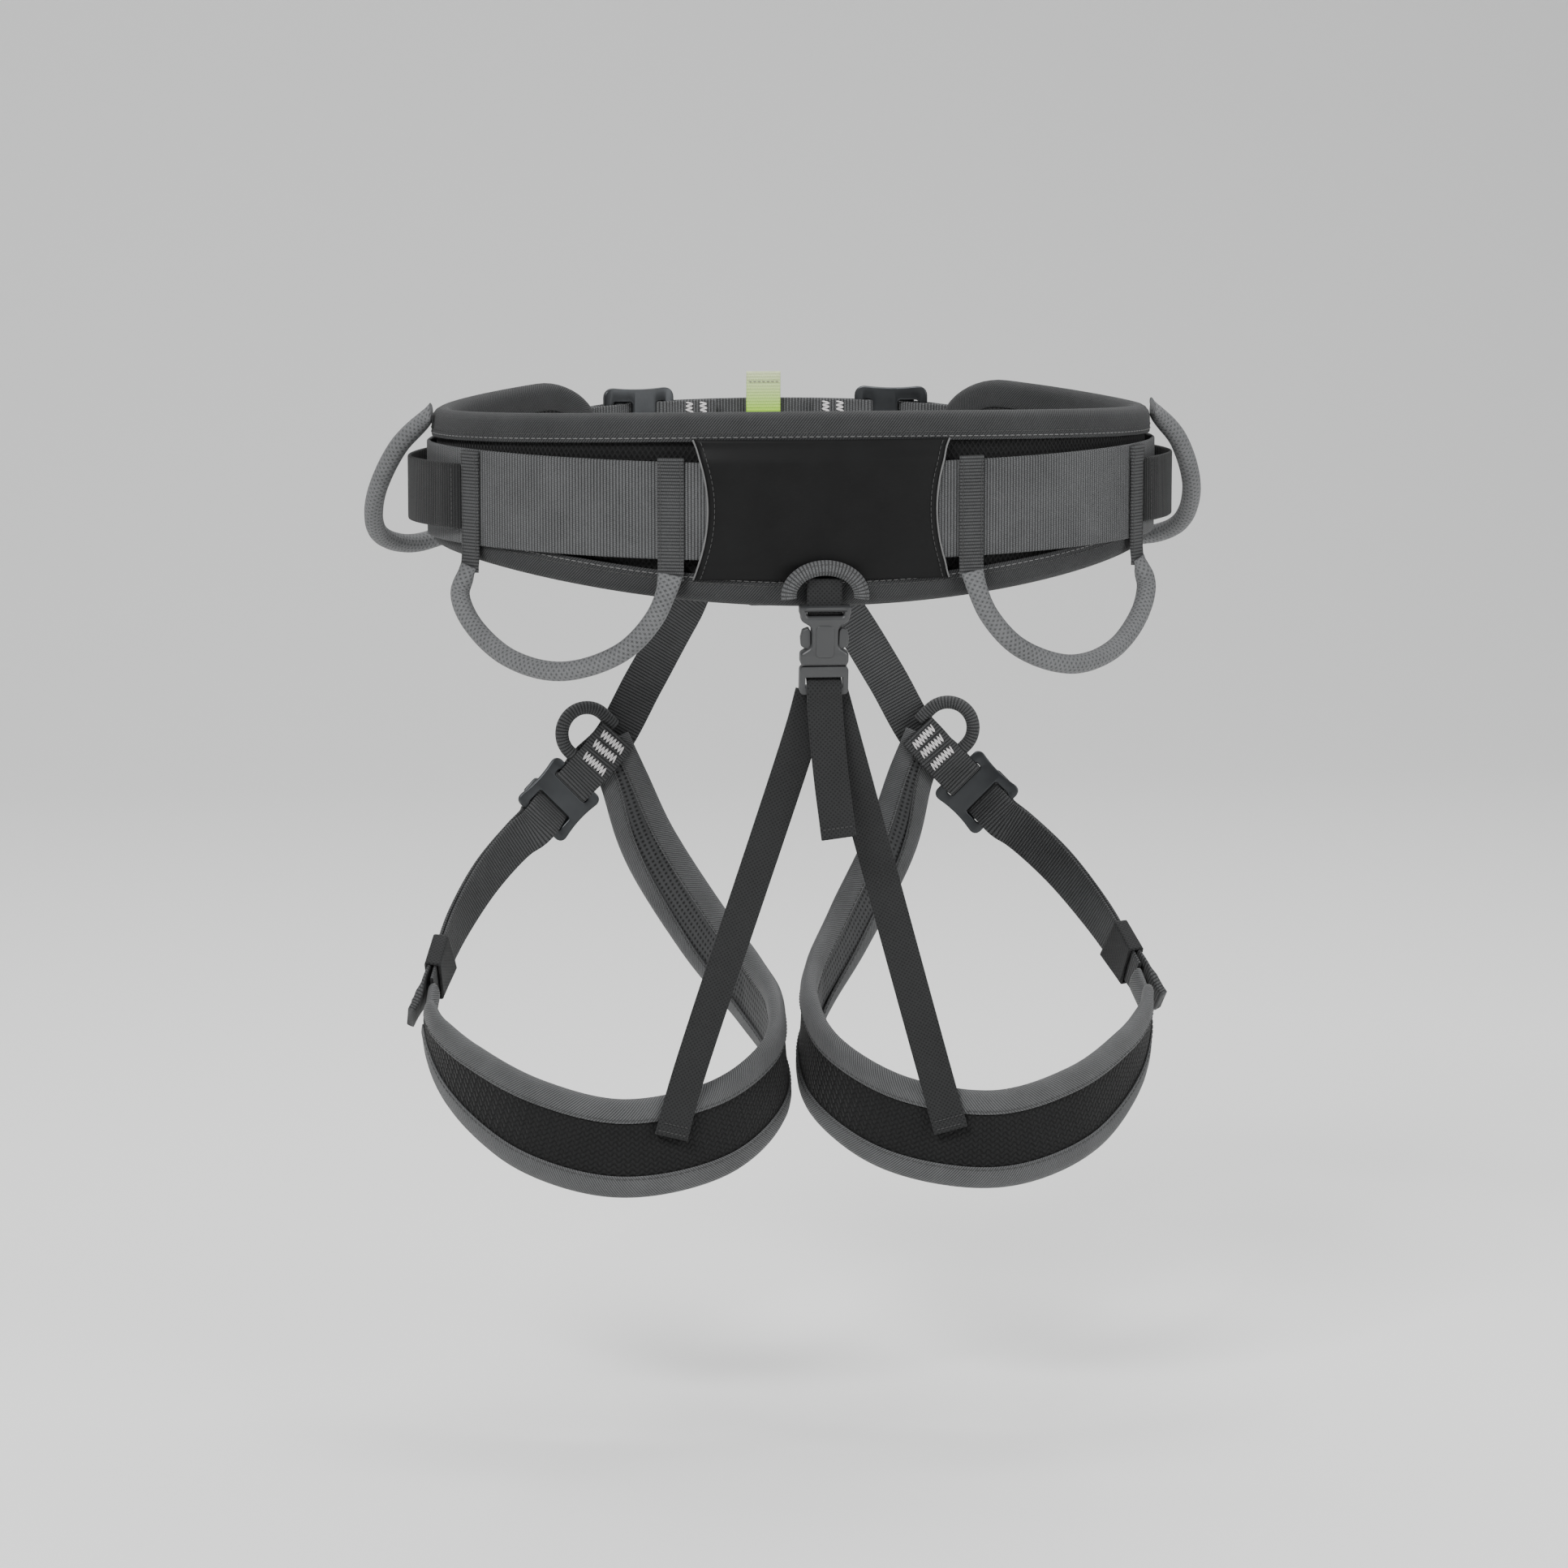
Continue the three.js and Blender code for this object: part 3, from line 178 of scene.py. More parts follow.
def lofted(name, rings, u, v, closed=False):
    """A closed skin over N rings of M points: quads between neighbours, and a flat cap at each end, or
    the last ring joined to the first. u holds the length at each ring and v the place round it, each with
    one value more where it comes round to its start."""
    count, around = rings.shape[:2]
    last = count if closed else count - 1
    i = np.arange(last)[:, None] * around
    j = np.arange(around)[None, :]
    k = (j + 1) % around
    after = (i + around) % (count * around)
    quads = np.stack([i + j, i + k, after + k, after + j], -1).reshape(-1, 4)
    u0, v0 = np.meshgrid(u[:last], v[:-1], indexing="ij")
    u1, v1 = np.meshgrid(u[1 : last + 1], v[1:], indexing="ij")
    uvs = np.stack([u0, v0, u0, v1, u1, v1, u1, v0], -1).reshape(-1, 2)
    if closed:
        return new_object(name, rings.reshape(-1, 3), quads.tolist(), uvs)
    start = np.arange(around)[::-1]
    end = np.arange(around) + (count - 1) * around
    cap_uvs = [[u[0], v[n]] for n in start] + [[u[-1], v[n]] for n in range(around)]
    faces = quads.tolist() + [start.tolist(), end.tolist()]
    return new_object(name, rings.reshape(-1, 3), faces, np.concatenate([uvs, np.array(cap_uvs)]))


def finish_piece(obj, body, slot, material, *nodes):
    """Gives a piece its material and its body, and hides the CAD nodes it stands for. Its slot is not used.
    """
    obj.data.materials.append(material)
    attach(obj, body)
    if nodes:
        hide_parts(*nodes)
    return obj


def math_node(tree, operation, a, b=None, c=None):
    """One Math node, whose inputs are sockets or plain numbers. Returns its output."""
    node = tree.nodes.new("ShaderNodeMath")
    node.operation = operation
    for socket, value in zip(node.inputs, (a, b, c)):
        if value is None:
            continue
        if isinstance(value, (int, float)):
            socket.default_value = value
        else:
            tree.links.new(value, socket)
    return node.outputs[0]


def wave(tree, along, pitch, shift=None):
    """Absolute sine of the place along, so each pitch is one round thread."""
    turn = math_node(tree, "MULTIPLY", along, math.pi / pitch)
    if shift is not None:
        turn = math_node(tree, "ADD", turn, shift)
    return math_node(tree, "ABSOLUTE", math_node(tree, "SINE", turn))


def ribs(tree, u, v):
    """Cross ribs of a heavy webbing: a round rib every 1.5 mm along it, each made of threads 0.9 mm apart."""
    rows = wave(tree, u, 1.5 * MM)
    half = math_node(tree, "FLOOR", math_node(tree, "DIVIDE", u, 1.5 * MM))
    threads = wave(tree, v, 0.9 * MM, math_node(tree, "MULTIPLY", half, math.pi / 2))
    return math_node(tree, "MULTIPLY", rows, math_node(tree, "MULTIPLY_ADD", threads, 0.45, 0.55))


def twill(tree, u, v):
    """Diagonal ridges 1.3 mm apart, crossed by fine threads."""
    slant = math_node(tree, "ADD", u, math_node(tree, "MULTIPLY", v, 0.8))
    ridge = wave(tree, slant, 1.3 * MM)
    threads = wave(tree, v, 0.7 * MM)
    return math_node(tree, "MULTIPLY", ridge, math_node(tree, "MULTIPLY_ADD", threads, 0.35, 0.65))


def diamonds(tree, u, v):
    """Two crossing sets of ridges: the higher of a wave of u plus v and a wave of u minus v."""
    one = wave(tree, math_node(tree, "ADD", u, v), 2.1 * MM)
    two = wave(tree, math_node(tree, "SUBTRACT", u, v), 2.1 * MM)
    return math_node(tree, "MAXIMUM", one, two)


def open_mesh(tree, u, v):
    """Rows of round holes, every second row moved by half a pitch: low where both waves are high."""
    one = wave(tree, math_node(tree, "ADD", u, math_node(tree, "MULTIPLY", v, 0.6)), 2.4 * MM)
    two = wave(tree, math_node(tree, "SUBTRACT", u, math_node(tree, "MULTIPLY", v, 0.6)), 2.4 * MM)
    hole = math_node(tree, "MULTIPLY", one, two)
    return math_node(tree, "SUBTRACT", 1.0, math_node(tree, "POWER", hole, 0.6))


def cloth_material(name, low, high, weave, roughness=0.85, depth=0.35, sheen=0.06, mottle=0.25):
    """A woven material on a piece's own UV map in metres. The weave's height mixes the low and the high
    colour and drives the bump, and a slow noise lightens and darkens it in patches."""
    material = bpy.data.materials.new(name)
    material.use_nodes = True
    tree = material.node_tree
    shader = tree.nodes["Principled BSDF"]
    uv = tree.nodes.new("ShaderNodeUVMap")
    uv.uv_map = "weave"
    split = tree.nodes.new("ShaderNodeSeparateXYZ")
    tree.links.new(uv.outputs[0], split.inputs[0])
    height = weave(tree, split.outputs[0], split.outputs[1])
    place = tree.nodes.new("ShaderNodeTexCoord")
    noise = tree.nodes.new("ShaderNodeTexNoise")
    noise.inputs["Scale"].default_value = 45
    noise.inputs["Detail"].default_value = 5
    noise.inputs["Roughness"].default_value = 0.65
    tree.links.new(place.outputs["Object"], noise.inputs["Vector"])
    fuzz = tree.nodes.new("ShaderNodeTexNoise")
    fuzz.inputs["Scale"].default_value = 2200
    fuzz.inputs["Detail"].default_value = 2
    tree.links.new(place.outputs["Object"], fuzz.inputs["Vector"])
    mix = tree.nodes.new("ShaderNodeMix")
    mix.data_type = "RGBA"
    mix.inputs["A"].default_value = (*low, 1)
    mix.inputs["B"].default_value = (*high, 1)
    patches = math_node(tree, "MULTIPLY", math_node(tree, "SUBTRACT", noise.outputs[0], 0.5), mottle * 2)
    hairs = math_node(tree, "MULTIPLY", math_node(tree, "SUBTRACT", fuzz.outputs[0], 0.5), 0.5)
    share = math_node(tree, "ADD", math_node(tree, "ADD", height, patches), hairs)
    tree.links.new(share, mix.inputs["Factor"])
    tree.links.new(mix.outputs["Result"], shader.inputs["Base Color"])
    bump = tree.nodes.new("ShaderNodeBump")
    bump.inputs["Strength"].default_value = 0.8
    bump.inputs["Distance"].default_value = depth * MM
    tree.links.new(math_node(tree, "ADD", height, hairs), bump.inputs["Height"])
    tree.links.new(bump.outputs[0], shader.inputs["Normal"])
    shader.inputs["Roughness"].default_value = roughness
    shader.inputs["Specular IOR Level"].default_value = 0.22
    shader.inputs["Sheen Weight"].default_value = sheen
    shader.inputs["Sheen Roughness"].default_value = 0.5
    return material


def paint_highlight_with_height(material, low, high, color):
    """Painted highlight: mixes a material towards a pale colour between two heights, standing in for light
    falling on the higher part.
    """
    tree = material.node_tree
    shader = tree.nodes["Principled BSDF"]
    before = shader.inputs["Base Color"].links[0].from_socket
    place = tree.nodes.new("ShaderNodeTexCoord")
    split = tree.nodes.new("ShaderNodeSeparateXYZ")
    tree.links.new(place.outputs["Object"], split.inputs[0])
    share = tree.nodes.new("ShaderNodeMapRange")
    share.inputs["From Min"].default_value = low
    share.inputs["From Max"].default_value = high
    tree.links.new(split.outputs[2], share.inputs["Value"])
    mix = tree.nodes.new("ShaderNodeMix")
    mix.data_type = "RGBA"
    mix.inputs["B"].default_value = (*color, 1)
    tree.links.new(share.outputs[0], mix.inputs["Factor"])
    tree.links.new(before, mix.inputs["A"])
    tree.links.new(mix.outputs["Result"], shader.inputs["Base Color"])


def grey(level, tint=0.0):
    """A grey with a slightly cool tint."""
    return (level * (1 - tint), level, level * (1 + tint))


spacer_mesh = cloth_material("spacer_mesh", grey(0.0015), grey(0.013, 0.02), open_mesh, 0.8, 0.8)
lining = cloth_material("brushed_lining", grey(0.008), grey(0.03, 0.02), open_mesh, 0.95, 0.5, 0.12)
binding_grey = cloth_material("binding_twill", grey(0.008, 0.02), grey(0.055, 0.02), twill, 0.85, 0.3)


def bulge(share):
    """Fullness across a pad: a rounded plateau that falls to zero at both edges."""
    return np.clip(1 - np.abs(share) ** 3.2, 0, 1) ** 0.6


def belt_half(angle):
    """Half the belt's height, after its round tip has taken its share."""
    beyond = np.clip((np.abs(angle) - (BELT_END - BELT_TIP)) / BELT_TIP, 0, 1)
    full = (waist_height(BELT_TOP, angle) - waist_height(BELT_BOTTOM, angle)) / 2
    return full * np.sqrt(1 - beyond**2)


def belt_middle(angle):
    """Height of the belt's middle line: halfway between its top and its bottom edge."""
    return (waist_height(BELT_TOP, angle) + waist_height(BELT_BOTTOM, angle)) / 2


def belt_angles(steps):
    """Angles from tip to tip: even along the belt, and closing in on the round ends as a cosine does."""
    start = BELT_END - BELT_TIP
    turn = np.linspace(0.03, 1, 14) * math.pi / 2
    tip = start + BELT_TIP * np.cos(turn)
    return np.concatenate([-tip, np.linspace(-start, start, steps)[1:-1], tip[::-1]])


WAIST_GIRTH = 0.142  # mean arc length of one radian


def belt_pad(name, outer, inner, crown, inset, lanes=26):
    """A closed pad round the waist: for each angle a ring goes up the outer face and down the inner face.
    Both faces swell by the bulge of their place across, and meet at the edge in the middle of the
    thickness."""
    angle = belt_angles(200)
    share = np.cos(np.linspace(math.pi, 0, lanes))
    half = np.maximum(belt_half(angle) - inset, 1.5 * MM)[:, None]
    z = belt_middle(angle)[:, None] + half * share
    full = bulge(share)
    middle = (outer + inner) / 2
    out = middle + (outer - middle) * np.maximum(full, 0.25) + crown[0] * full
    back = middle + (inner - middle) * np.maximum(full, 0.25) - crown[1] * full
    a = np.broadcast_to(angle[:, None], z.shape)
    front = waist_point(a, np.broadcast_to(out, z.shape), z)
    rear = waist_point(a, np.broadcast_to(back, z.shape), z)[:, ::-1]
    rings = np.concatenate([front, rear], 1)
    v = np.linspace(0, 0.18, rings.shape[1] + 1)
    return lofted(name, rings, angle * WAIST_GIRTH, v)


def puff(obj, pressure, cap):
    """Swells a closed pad by cloth simulation on its own even grid: pressure without gravity, the
    movement of each point capped, the result applied, and one subdivision. A voxel remesh would break so
    thin a pad."""
    rest = np.empty(len(obj.data.vertices) * 3)
    obj.data.vertices.foreach_get("co", rest)
    cloth = obj.modifiers.new("cloth", "CLOTH")
    cloth.settings.quality = 4
    cloth.settings.mass = 0.3
    cloth.settings.tension_stiffness = 25
    cloth.settings.compression_stiffness = 25
    cloth.settings.bending_stiffness = 0.6
    cloth.settings.use_pressure = True
    cloth.settings.uniform_pressure_force = pressure
    cloth.settings.effector_weights.gravity = 0
    cloth.collision_settings.use_collision = False
    for number in range(1, 13):
        bpy.context.scene.frame_set(number)
    graph = bpy.context.evaluated_depsgraph_get()
    shaped = obj.evaluated_get(graph).to_mesh()
    moved = np.empty_like(rest)
    shaped.vertices.foreach_get("co", moved)
    obj.evaluated_get(graph).to_mesh_clear()
    obj.modifiers.remove(cloth)
    step = (moved - rest).reshape(-1, 3)
    length = np.linalg.norm(step, axis=1, keepdims=True)
    step *= np.minimum(1, cap / np.maximum(length, 1e-9))
    obj.data.vertices.foreach_set("co", (rest.reshape(-1, 3) + step).ravel())
    obj.data.update()
    bpy.context.scene.frame_set(1)
    obj.data.polygons.foreach_set("use_smooth", [True] * len(obj.data.polygons))
    fine = obj.modifiers.new("fine", "SUBSURF")
    fine.levels = 1
    fine.render_levels = 1
    return obj


def weave_from_waist(obj):
    """A UV map for a simulated belt piece: u is the arc length round the waist oval, v the height."""
    mesh = obj.data
    loops = np.empty(len(mesh.loops), dtype=np.int32)
    mesh.loops.foreach_get("vertex_index", loops)
    co = np.empty(len(mesh.vertices) * 3)
    mesh.vertices.foreach_get("co", co)
    co = co.reshape(-1, 3)[loops]
    angle = np.arctan2(co[:, 0] / WAIST_HALF_WIDTH, -co[:, 1] / WAIST_HALF_DEPTH)
    if "weave" not in mesh.uv_layers:
        mesh.uv_layers.new(name="weave")
    mesh.uv_layers["weave"].data.foreach_set("uv", np.stack([angle * WAIST_GIRTH, co[:, 2]], -1).ravel())


belt_foam = puff(belt_pad("belt_pad", -0.8 * MM, -5.6 * MM, (0.3 * MM, 0.2 * MM), 2.4 * MM), 4, 1.1 * MM)
weave_from_waist(belt_foam)
finish_piece(belt_foam, "waist", "spacer_mesh", spacer_mesh, "belt_mesh", "belt_foam")
belt_inner = belt_pad("belt_lining", -6.9 * MM, -8.1 * MM, (0, 0.9 * MM), 1.2 * MM)
weave_from_waist(belt_inner)
finish_piece(belt_inner, "waist", "lining", lining, "belt_lining")

# ---------------------------------------------------------------------------------------------
# Edge binding of the belt. One twill tape is folded over the pad's edge and sewn through all the
# layers with two rows of lockstitch, and its ends meet low on the left of the back.
BINDING_FOLD = np.array([
    [12, 1.25], [11.6, 1.45], [9, 1.55], [5, 1.5], [2.2, 0.9], [0.3, -0.6], [-0.7, -2.4], [-1, -4.2],
    [-0.7, -6], [0.3, -7.8], [2.2, -9.1], [5, -9.7], [9, -9.8], [11.6, -9.7], [12, -9.4], [11.6, -8.9],
    [9, -8.8], [5, -8.6], [2.6, -8], [1.2, -6.4], [0.5, -4.2], [1.2, -2], [2.6, -0.6], [5, 0.3],
    [9, 0.45], [11.6, 0.5],
]) * MM


def lengths(points, closed=False):
    """Length along a path at each of its points, with the way back to the start where it is closed."""
    path = np.concatenate([points, points[:1]]) if closed else points
    return np.concatenate([[0], np.cumsum(np.linalg.norm(np.diff(path, axis=0), axis=1))])


def direction(points, closed=False):
    """Unit tangent at each point of a path, from its neighbours' difference."""
    if closed:
        step = np.roll(points, -1, 0) - np.roll(points, 1, 0)
    else:
        step = np.gradient(points, axis=0)
    return step / np.maximum(np.linalg.norm(step, axis=1, keepdims=True), 1e-12)


def carried(name, path, across, out, section, width=1.0, thick=1.0, closed=False):
    """Carries a closed section along a path: each ring is the path's point plus across times the
    section's first value times the width there, plus out times its second value times the thickness
    there."""
    scale = np.broadcast_to(width, len(path))[:, None, None]
    lift = np.broadcast_to(thick, len(path))[:, None, None]
    flat = across[:, None] * section[None, :, :1] * scale + out[:, None] * section[None, :, 1:] * lift
    v = lengths(np.pad(section, ((0, 0), (0, 1))), closed=True)
    return lofted(name, path[:, None] + flat, lengths(path, closed), v, closed)


def belt_edge():
    """The belt's outline as one loop: along the bottom edge, up round the right tip by a half turn of the
    sine for its angle and the cosine for its height, back along the top edge and down round the left tip."""
    start = BELT_END - BELT_TIP
    run = np.linspace(-start, start, 260)
    turn = np.linspace(0, math.pi, 26)[1:-1]
    tip = start + BELT_TIP * np.sin(turn)
    angle = np.concatenate([run, tip, run[::-1], -tip])
    middle = belt_middle(angle)
    half = (waist_height(BELT_TOP, angle) - waist_height(BELT_BOTTOM, angle)) / 2
    rise = np.concatenate([0 * run - 1, -np.cos(turn), 0 * run + 1, np.cos(turn)])
    return waist_point(angle, 0, middle + half * rise), waist_normal(angle)


THREAD_SECTION = np.array([[math.cos(a), math.sin(a)]
                           for a in np.linspace(0, 2 * math.pi, 6, endpoint=False)])


def stitches(name, centres, along, out, length, radius):
    """One mesh of like threads. Each is a spindle of four rings, whose radius follows a half sine, laid
    at its centre with its length along the seam and sunk to half its thickness."""
    share = np.array([-1, -0.6, 0.6, 1])
    size = np.array([0.35, 1, 1, 0.35]) * radius
    side = np.cross(out, along)
    ring = size[:, None, None] * THREAD_SECTION[None]
    spin = ring[None, :, :, :1] * side[:, None, None] + ring[None, :, :, 1:] * out[:, None, None]
    verts = centres[:, None, None] + share[None, :, None, None] * along[:, None, None] * length / 2 + spin
    faces = []
    for r in range(3):
        for s in range(6):
            n = (s + 1) % 6
            faces.append([r * 6 + s, r * 6 + n, r * 6 + 6 + n, r * 6 + 6 + s])
    caps = [list(range(5, -1, -1)), list(range(18, 24))]
    quads = (np.array(faces)[None] + 24 * np.arange(len(centres))[:, None, None]).reshape(-1, 4)
    ends = (np.array(caps)[None] + 24 * np.arange(len(centres))[:, None, None]).reshape(-1, 6)
    return new_object(name, verts.reshape(-1, 3), quads.tolist() + ends.tolist())


def seam(name, path, out, pitch, length, radius, closed=False):
    """Threads along a path at an even pitch, each pointing along it."""
    s = lengths(path, closed)
    loop = np.concatenate([path, path[:1]]) if closed else path
    face = np.concatenate([out, out[:1]]) if closed else out
    at = np.arange(pitch / 2, s[-1], pitch)
    centres = np.stack([np.interp(at, s, loop[:, k]) for k in range(3)], -1)
    up = np.stack([np.interp(at, s, face[:, k]) for k in range(3)], -1)
    ahead = np.stack([np.interp(at + pitch / 3, s, loop[:, k]) for k in range(3)], -1)
    behind = np.stack([np.interp(at - pitch / 3, s, loop[:, k]) for k in range(3)], -1)
    along = (ahead - behind) / np.maximum(np.linalg.norm(ahead - behind, axis=1, keepdims=True), 1e-9)
    up = up - along * np.sum(up * along, 1, keepdims=True)
    up /= np.linalg.norm(up, axis=1, keepdims=True)
    return stitches(name, centres, along, up, length, radius)


def plain_material(name, color, roughness, grain=900, depth=0.1, metal=0.0, spread=0.15, shine=0.5):
    """A material with fine grain: one noise on Object coordinates varies its colour a little and its bump."""
    material = bpy.data.materials.new(name)
    material.use_nodes = True
    tree = material.node_tree
    shader = tree.nodes["Principled BSDF"]
    place = tree.nodes.new("ShaderNodeTexCoord")
    noise = tree.nodes.new("ShaderNodeTexNoise")
    noise.inputs["Scale"].default_value = grain
    noise.inputs["Detail"].default_value = 4
    tree.links.new(place.outputs["Object"], noise.inputs["Vector"])
    slow = tree.nodes.new("ShaderNodeTexNoise")
    slow.inputs["Scale"].default_value = 60
    slow.inputs["Detail"].default_value = 6
    tree.links.new(place.outputs["Object"], slow.inputs["Vector"])
    mix = tree.nodes.new("ShaderNodeMix")
    mix.data_type = "RGBA"
    mix.inputs["A"].default_value = (*[c * (1 - spread) for c in color], 1)
    mix.inputs["B"].default_value = (*[min(1, c * (1 + 2 * spread)) for c in color], 1)
    tree.links.new(slow.outputs[0], mix.inputs["Factor"])
    tree.links.new(mix.outputs["Result"], shader.inputs["Base Color"])
    rough = math_node(tree, "MULTIPLY_ADD", slow.outputs[0], 0.25, roughness - 0.12)
    tree.links.new(rough, shader.inputs["Roughness"])
    bump = tree.nodes.new("ShaderNodeBump")
    bump.inputs["Strength"].default_value = 0.6
    bump.inputs["Distance"].default_value = depth * MM
    tree.links.new(noise.outputs[0], bump.inputs["Height"])
    tree.links.new(bump.outputs[0], shader.inputs["Normal"])
    shader.inputs["Metallic"].default_value = metal
    shader.inputs["Specular IOR Level"].default_value = shine
    return material


thread_grey = plain_material("thread_grey", grey(0.12), 0.7)
thread_dark = plain_material("thread_dark", grey(0.035), 0.7)
edge_path, edge_out = belt_edge()
edge_across = np.cross(edge_out, direction(edge_path, closed=True))
binding = carried("belt_binding", edge_path, edge_across, edge_out, BINDING_FOLD, closed=True)
finish_piece(binding, "waist", "binding_tape", binding_grey, "belt_binding")
for row, inset in (("inner", 10.2 * MM), ("outer", 8.2 * MM)):
    line = edge_path + edge_across * inset + edge_out * 1.6 * MM
    threads = seam(f"belt_stitching_{row}", line, edge_out, 3.1 * MM, 2.4 * MM, 0.26 * MM, closed=True)
    finish_piece(threads, "waist", "binding_tape", thread_dark if row == "outer" else thread_grey)

# ---------------------------------------------------------------------------------------------
# Waist webbing, 44 mm of ribbed polyester sewn on round the belt. At each end it comes up through
# the waist buckle, goes back over the slider and lies on itself as a tail. The short front bridge
# joins the two buckles and is sewn to itself with a bartack at each side.
WEBBING_THICK = 1.9 * MM
WEBBING_WIDTH = 44 * MM
WEBBING_HEIGHT = (-16 * MM, -12 * MM, -1 * MM)
WEBBING_DEPTH = 2.85 * MM
TAIL_DEPTH = 5.05 * MM
BUCKLE_ANGLE = math.radians(158.7)
BUCKLE_DEPTH = 5.97 * MM
BUCKLE_SCALE = 1.2
FIXED_END = np.array([[-15, 2.5], [-10.4, 2.5], [-8.6, 1.8], [-7.9, 0], [-8.6, -1.8], [-10.4, -2.5],
                      [-15, -2.5]])
ADJUSTING_END = np.array([
    [19, -3.1], [12, -2.6], [7, -0.1], [2, 2.6], [-1, 2.7], [-2.9, 3.6], [-3.5, 5.1], [-2.9, 6.7], [-1, 7.5],
    [9.5, 8.8], [13, 6.6], [17, 4],
])
webbing_grey = cloth_material("webbing_ribbed", grey(0.015, 0.02), grey(0.125, 0.02), ribs, 0.75, 0.6)
webbing_dark = cloth_material("webbing_dark", grey(0.003), grey(0.024, 0.02), ribs, 0.8, 0.45)


def tape_section(width, thick, steps=8):
    """A flat section with round edges: two straight faces joined by a half circle at each side."""
    r = thick / 2
    top = np.linspace(width / 2 - r, -width / 2 + r, steps)
    turn = np.linspace(0, math.pi, 6)[1:-1] + math.pi / 2
    left = np.stack([-width / 2 + r + r * np.cos(turn), r * np.sin(turn)], -1)
    right = -left
    upper = np.stack([top, 0 * top + r], -1)
    lower = np.stack([-top, 0 * top - r], -1)
    return np.concatenate([upper, left, lower, right])


def oval_section(half_width, half_thick, steps=16):
    """Points of an oval section, as a circle's cosine and sine times its half width and half thickness."""
    turn = np.linspace(0, 2 * math.pi, steps, endpoint=False)
    return np.stack([half_width * np.cos(turn), half_thick * np.sin(turn)], -1)


def smooth_path(stops, spacing=1.2 * MM):
    """A centripetal Catmull-Rom curve through stops: on each span a cubic whose end slopes come from the
    neighbouring stops, with knots spaced by the square root of their distance. Returns the points and,
    for each, its place in the list of stops."""
    p = np.asarray(stops, float)
    p = np.concatenate([[2 * p[0] - p[1]], p, [2 * p[-1] - p[-2]]])
    gap = np.sqrt(np.maximum(np.linalg.norm(np.diff(p, axis=0), axis=1), 1e-9))[:, None]
    step = np.diff(p, axis=0)
    slope = step[:-1] / gap[:-1] - (step[:-1] + step[1:]) / (gap[:-1] + gap[1:]) + step[1:] / gap[1:]
    start = slope[:-1] * gap[1:-1]
    end = slope[1:] * gap[1:-1]
    points, places = [], []
    for i in range(len(p) - 3):
        count = max(3, int(np.ceil(np.linalg.norm(step[i + 1]) / spacing)))
        t = np.linspace(0, 1, count, endpoint=i == len(p) - 4)[:, None]
        a, b = p[i + 1], p[i + 2]
        cubic = (2 * a - 2 * b + start[i] + end[i]) * t**3 + (3 * b - 3 * a - 2 * start[i] - end[i]) * t**2
        points.append(a + start[i] * t + cubic)
        places.append(i + t[:, 0])
    return np.concatenate(points), np.concatenate(places)


def mixed(values, places):
    """Values of a list at fractional places in it."""
    values = np.asarray(values, float)
    index = np.arange(len(values))
    if values.ndim == 1:
        return np.interp(places, index, values)
    return np.stack([np.interp(places, index, values[:, k]) for k in range(values.shape[1])], -1)


def waist_radius(angle):
    """Length of waist oval per radian at an angle from the middle of the back."""
    return math.hypot(WAIST_HALF_WIDTH * math.cos(angle), WAIST_HALF_DEPTH * math.sin(angle))


def from_buckle(distance):
    """Angle at a distance in millimetres from the waist buckle's middle, towards the side of the body."""
    return BUCKLE_ANGLE - distance * MM / waist_radius(BUCKLE_ANGLE)


def webbing_rise(angle):
    """Height of the waist webbing's middle line at angles from the middle of the back."""
    return waist_height(WEBBING_HEIGHT, np.asarray(angle, float))


buckle_out = waist_normal(np.array(BUCKLE_ANGLE))
buckle_up = np.array([-buckle_out[1], buckle_out[0], 0])
buckle_at = waist_point(BUCKLE_ANGLE, BUCKLE_DEPTH, webbing_rise(BUCKLE_ANGLE))


def buckle_stops(pairs):
    """Stops in the flat frame of the right waist buckle, as a list of angle and point."""
    return [
        (from_buckle(a * BUCKLE_SCALE), buckle_at + (-a * buckle_up + lift * buckle_out) * BUCKLE_SCALE * MM)
        for a, lift in pairs
    ]


def oval_stops(angles, depth):
    """Stops of a waist band at one depth over the waist oval, one for each angle."""
    return [(a, waist_point(a, depth, 0.0)) for a in angles]


MIRROR = np.array([-1, 1, 1])


def mirrored(stops):
    """The same stops on the other side of the body, in the order that carries on round the waist."""
    return [(-angle, point * MIRROR) for angle, point in reversed(stops)]


def waist_band(name, stops, body, slot, material, *nodes):
    """A band through stops round the waist, always upright: its section's width runs along +Z and its
    thickness square to the path."""
    path, places = smooth_path([point * [1, 1, 0] for angle, point in stops])
    path[:, 2] = mixed(webbing_rise([angle for angle, point in stops]), places)
    forward = direction(path) * [1, 1, 0]
    forward /= np.linalg.norm(forward, axis=1, keepdims=True)
    across = np.tile([0.0, 0, 1], (len(path), 1))
    section = tape_section(WEBBING_WIDTH, WEBBING_THICK)
    obj = carried(name, path, across, np.cross(forward, across), section)
    return finish_piece(obj, body, slot, material, *nodes)


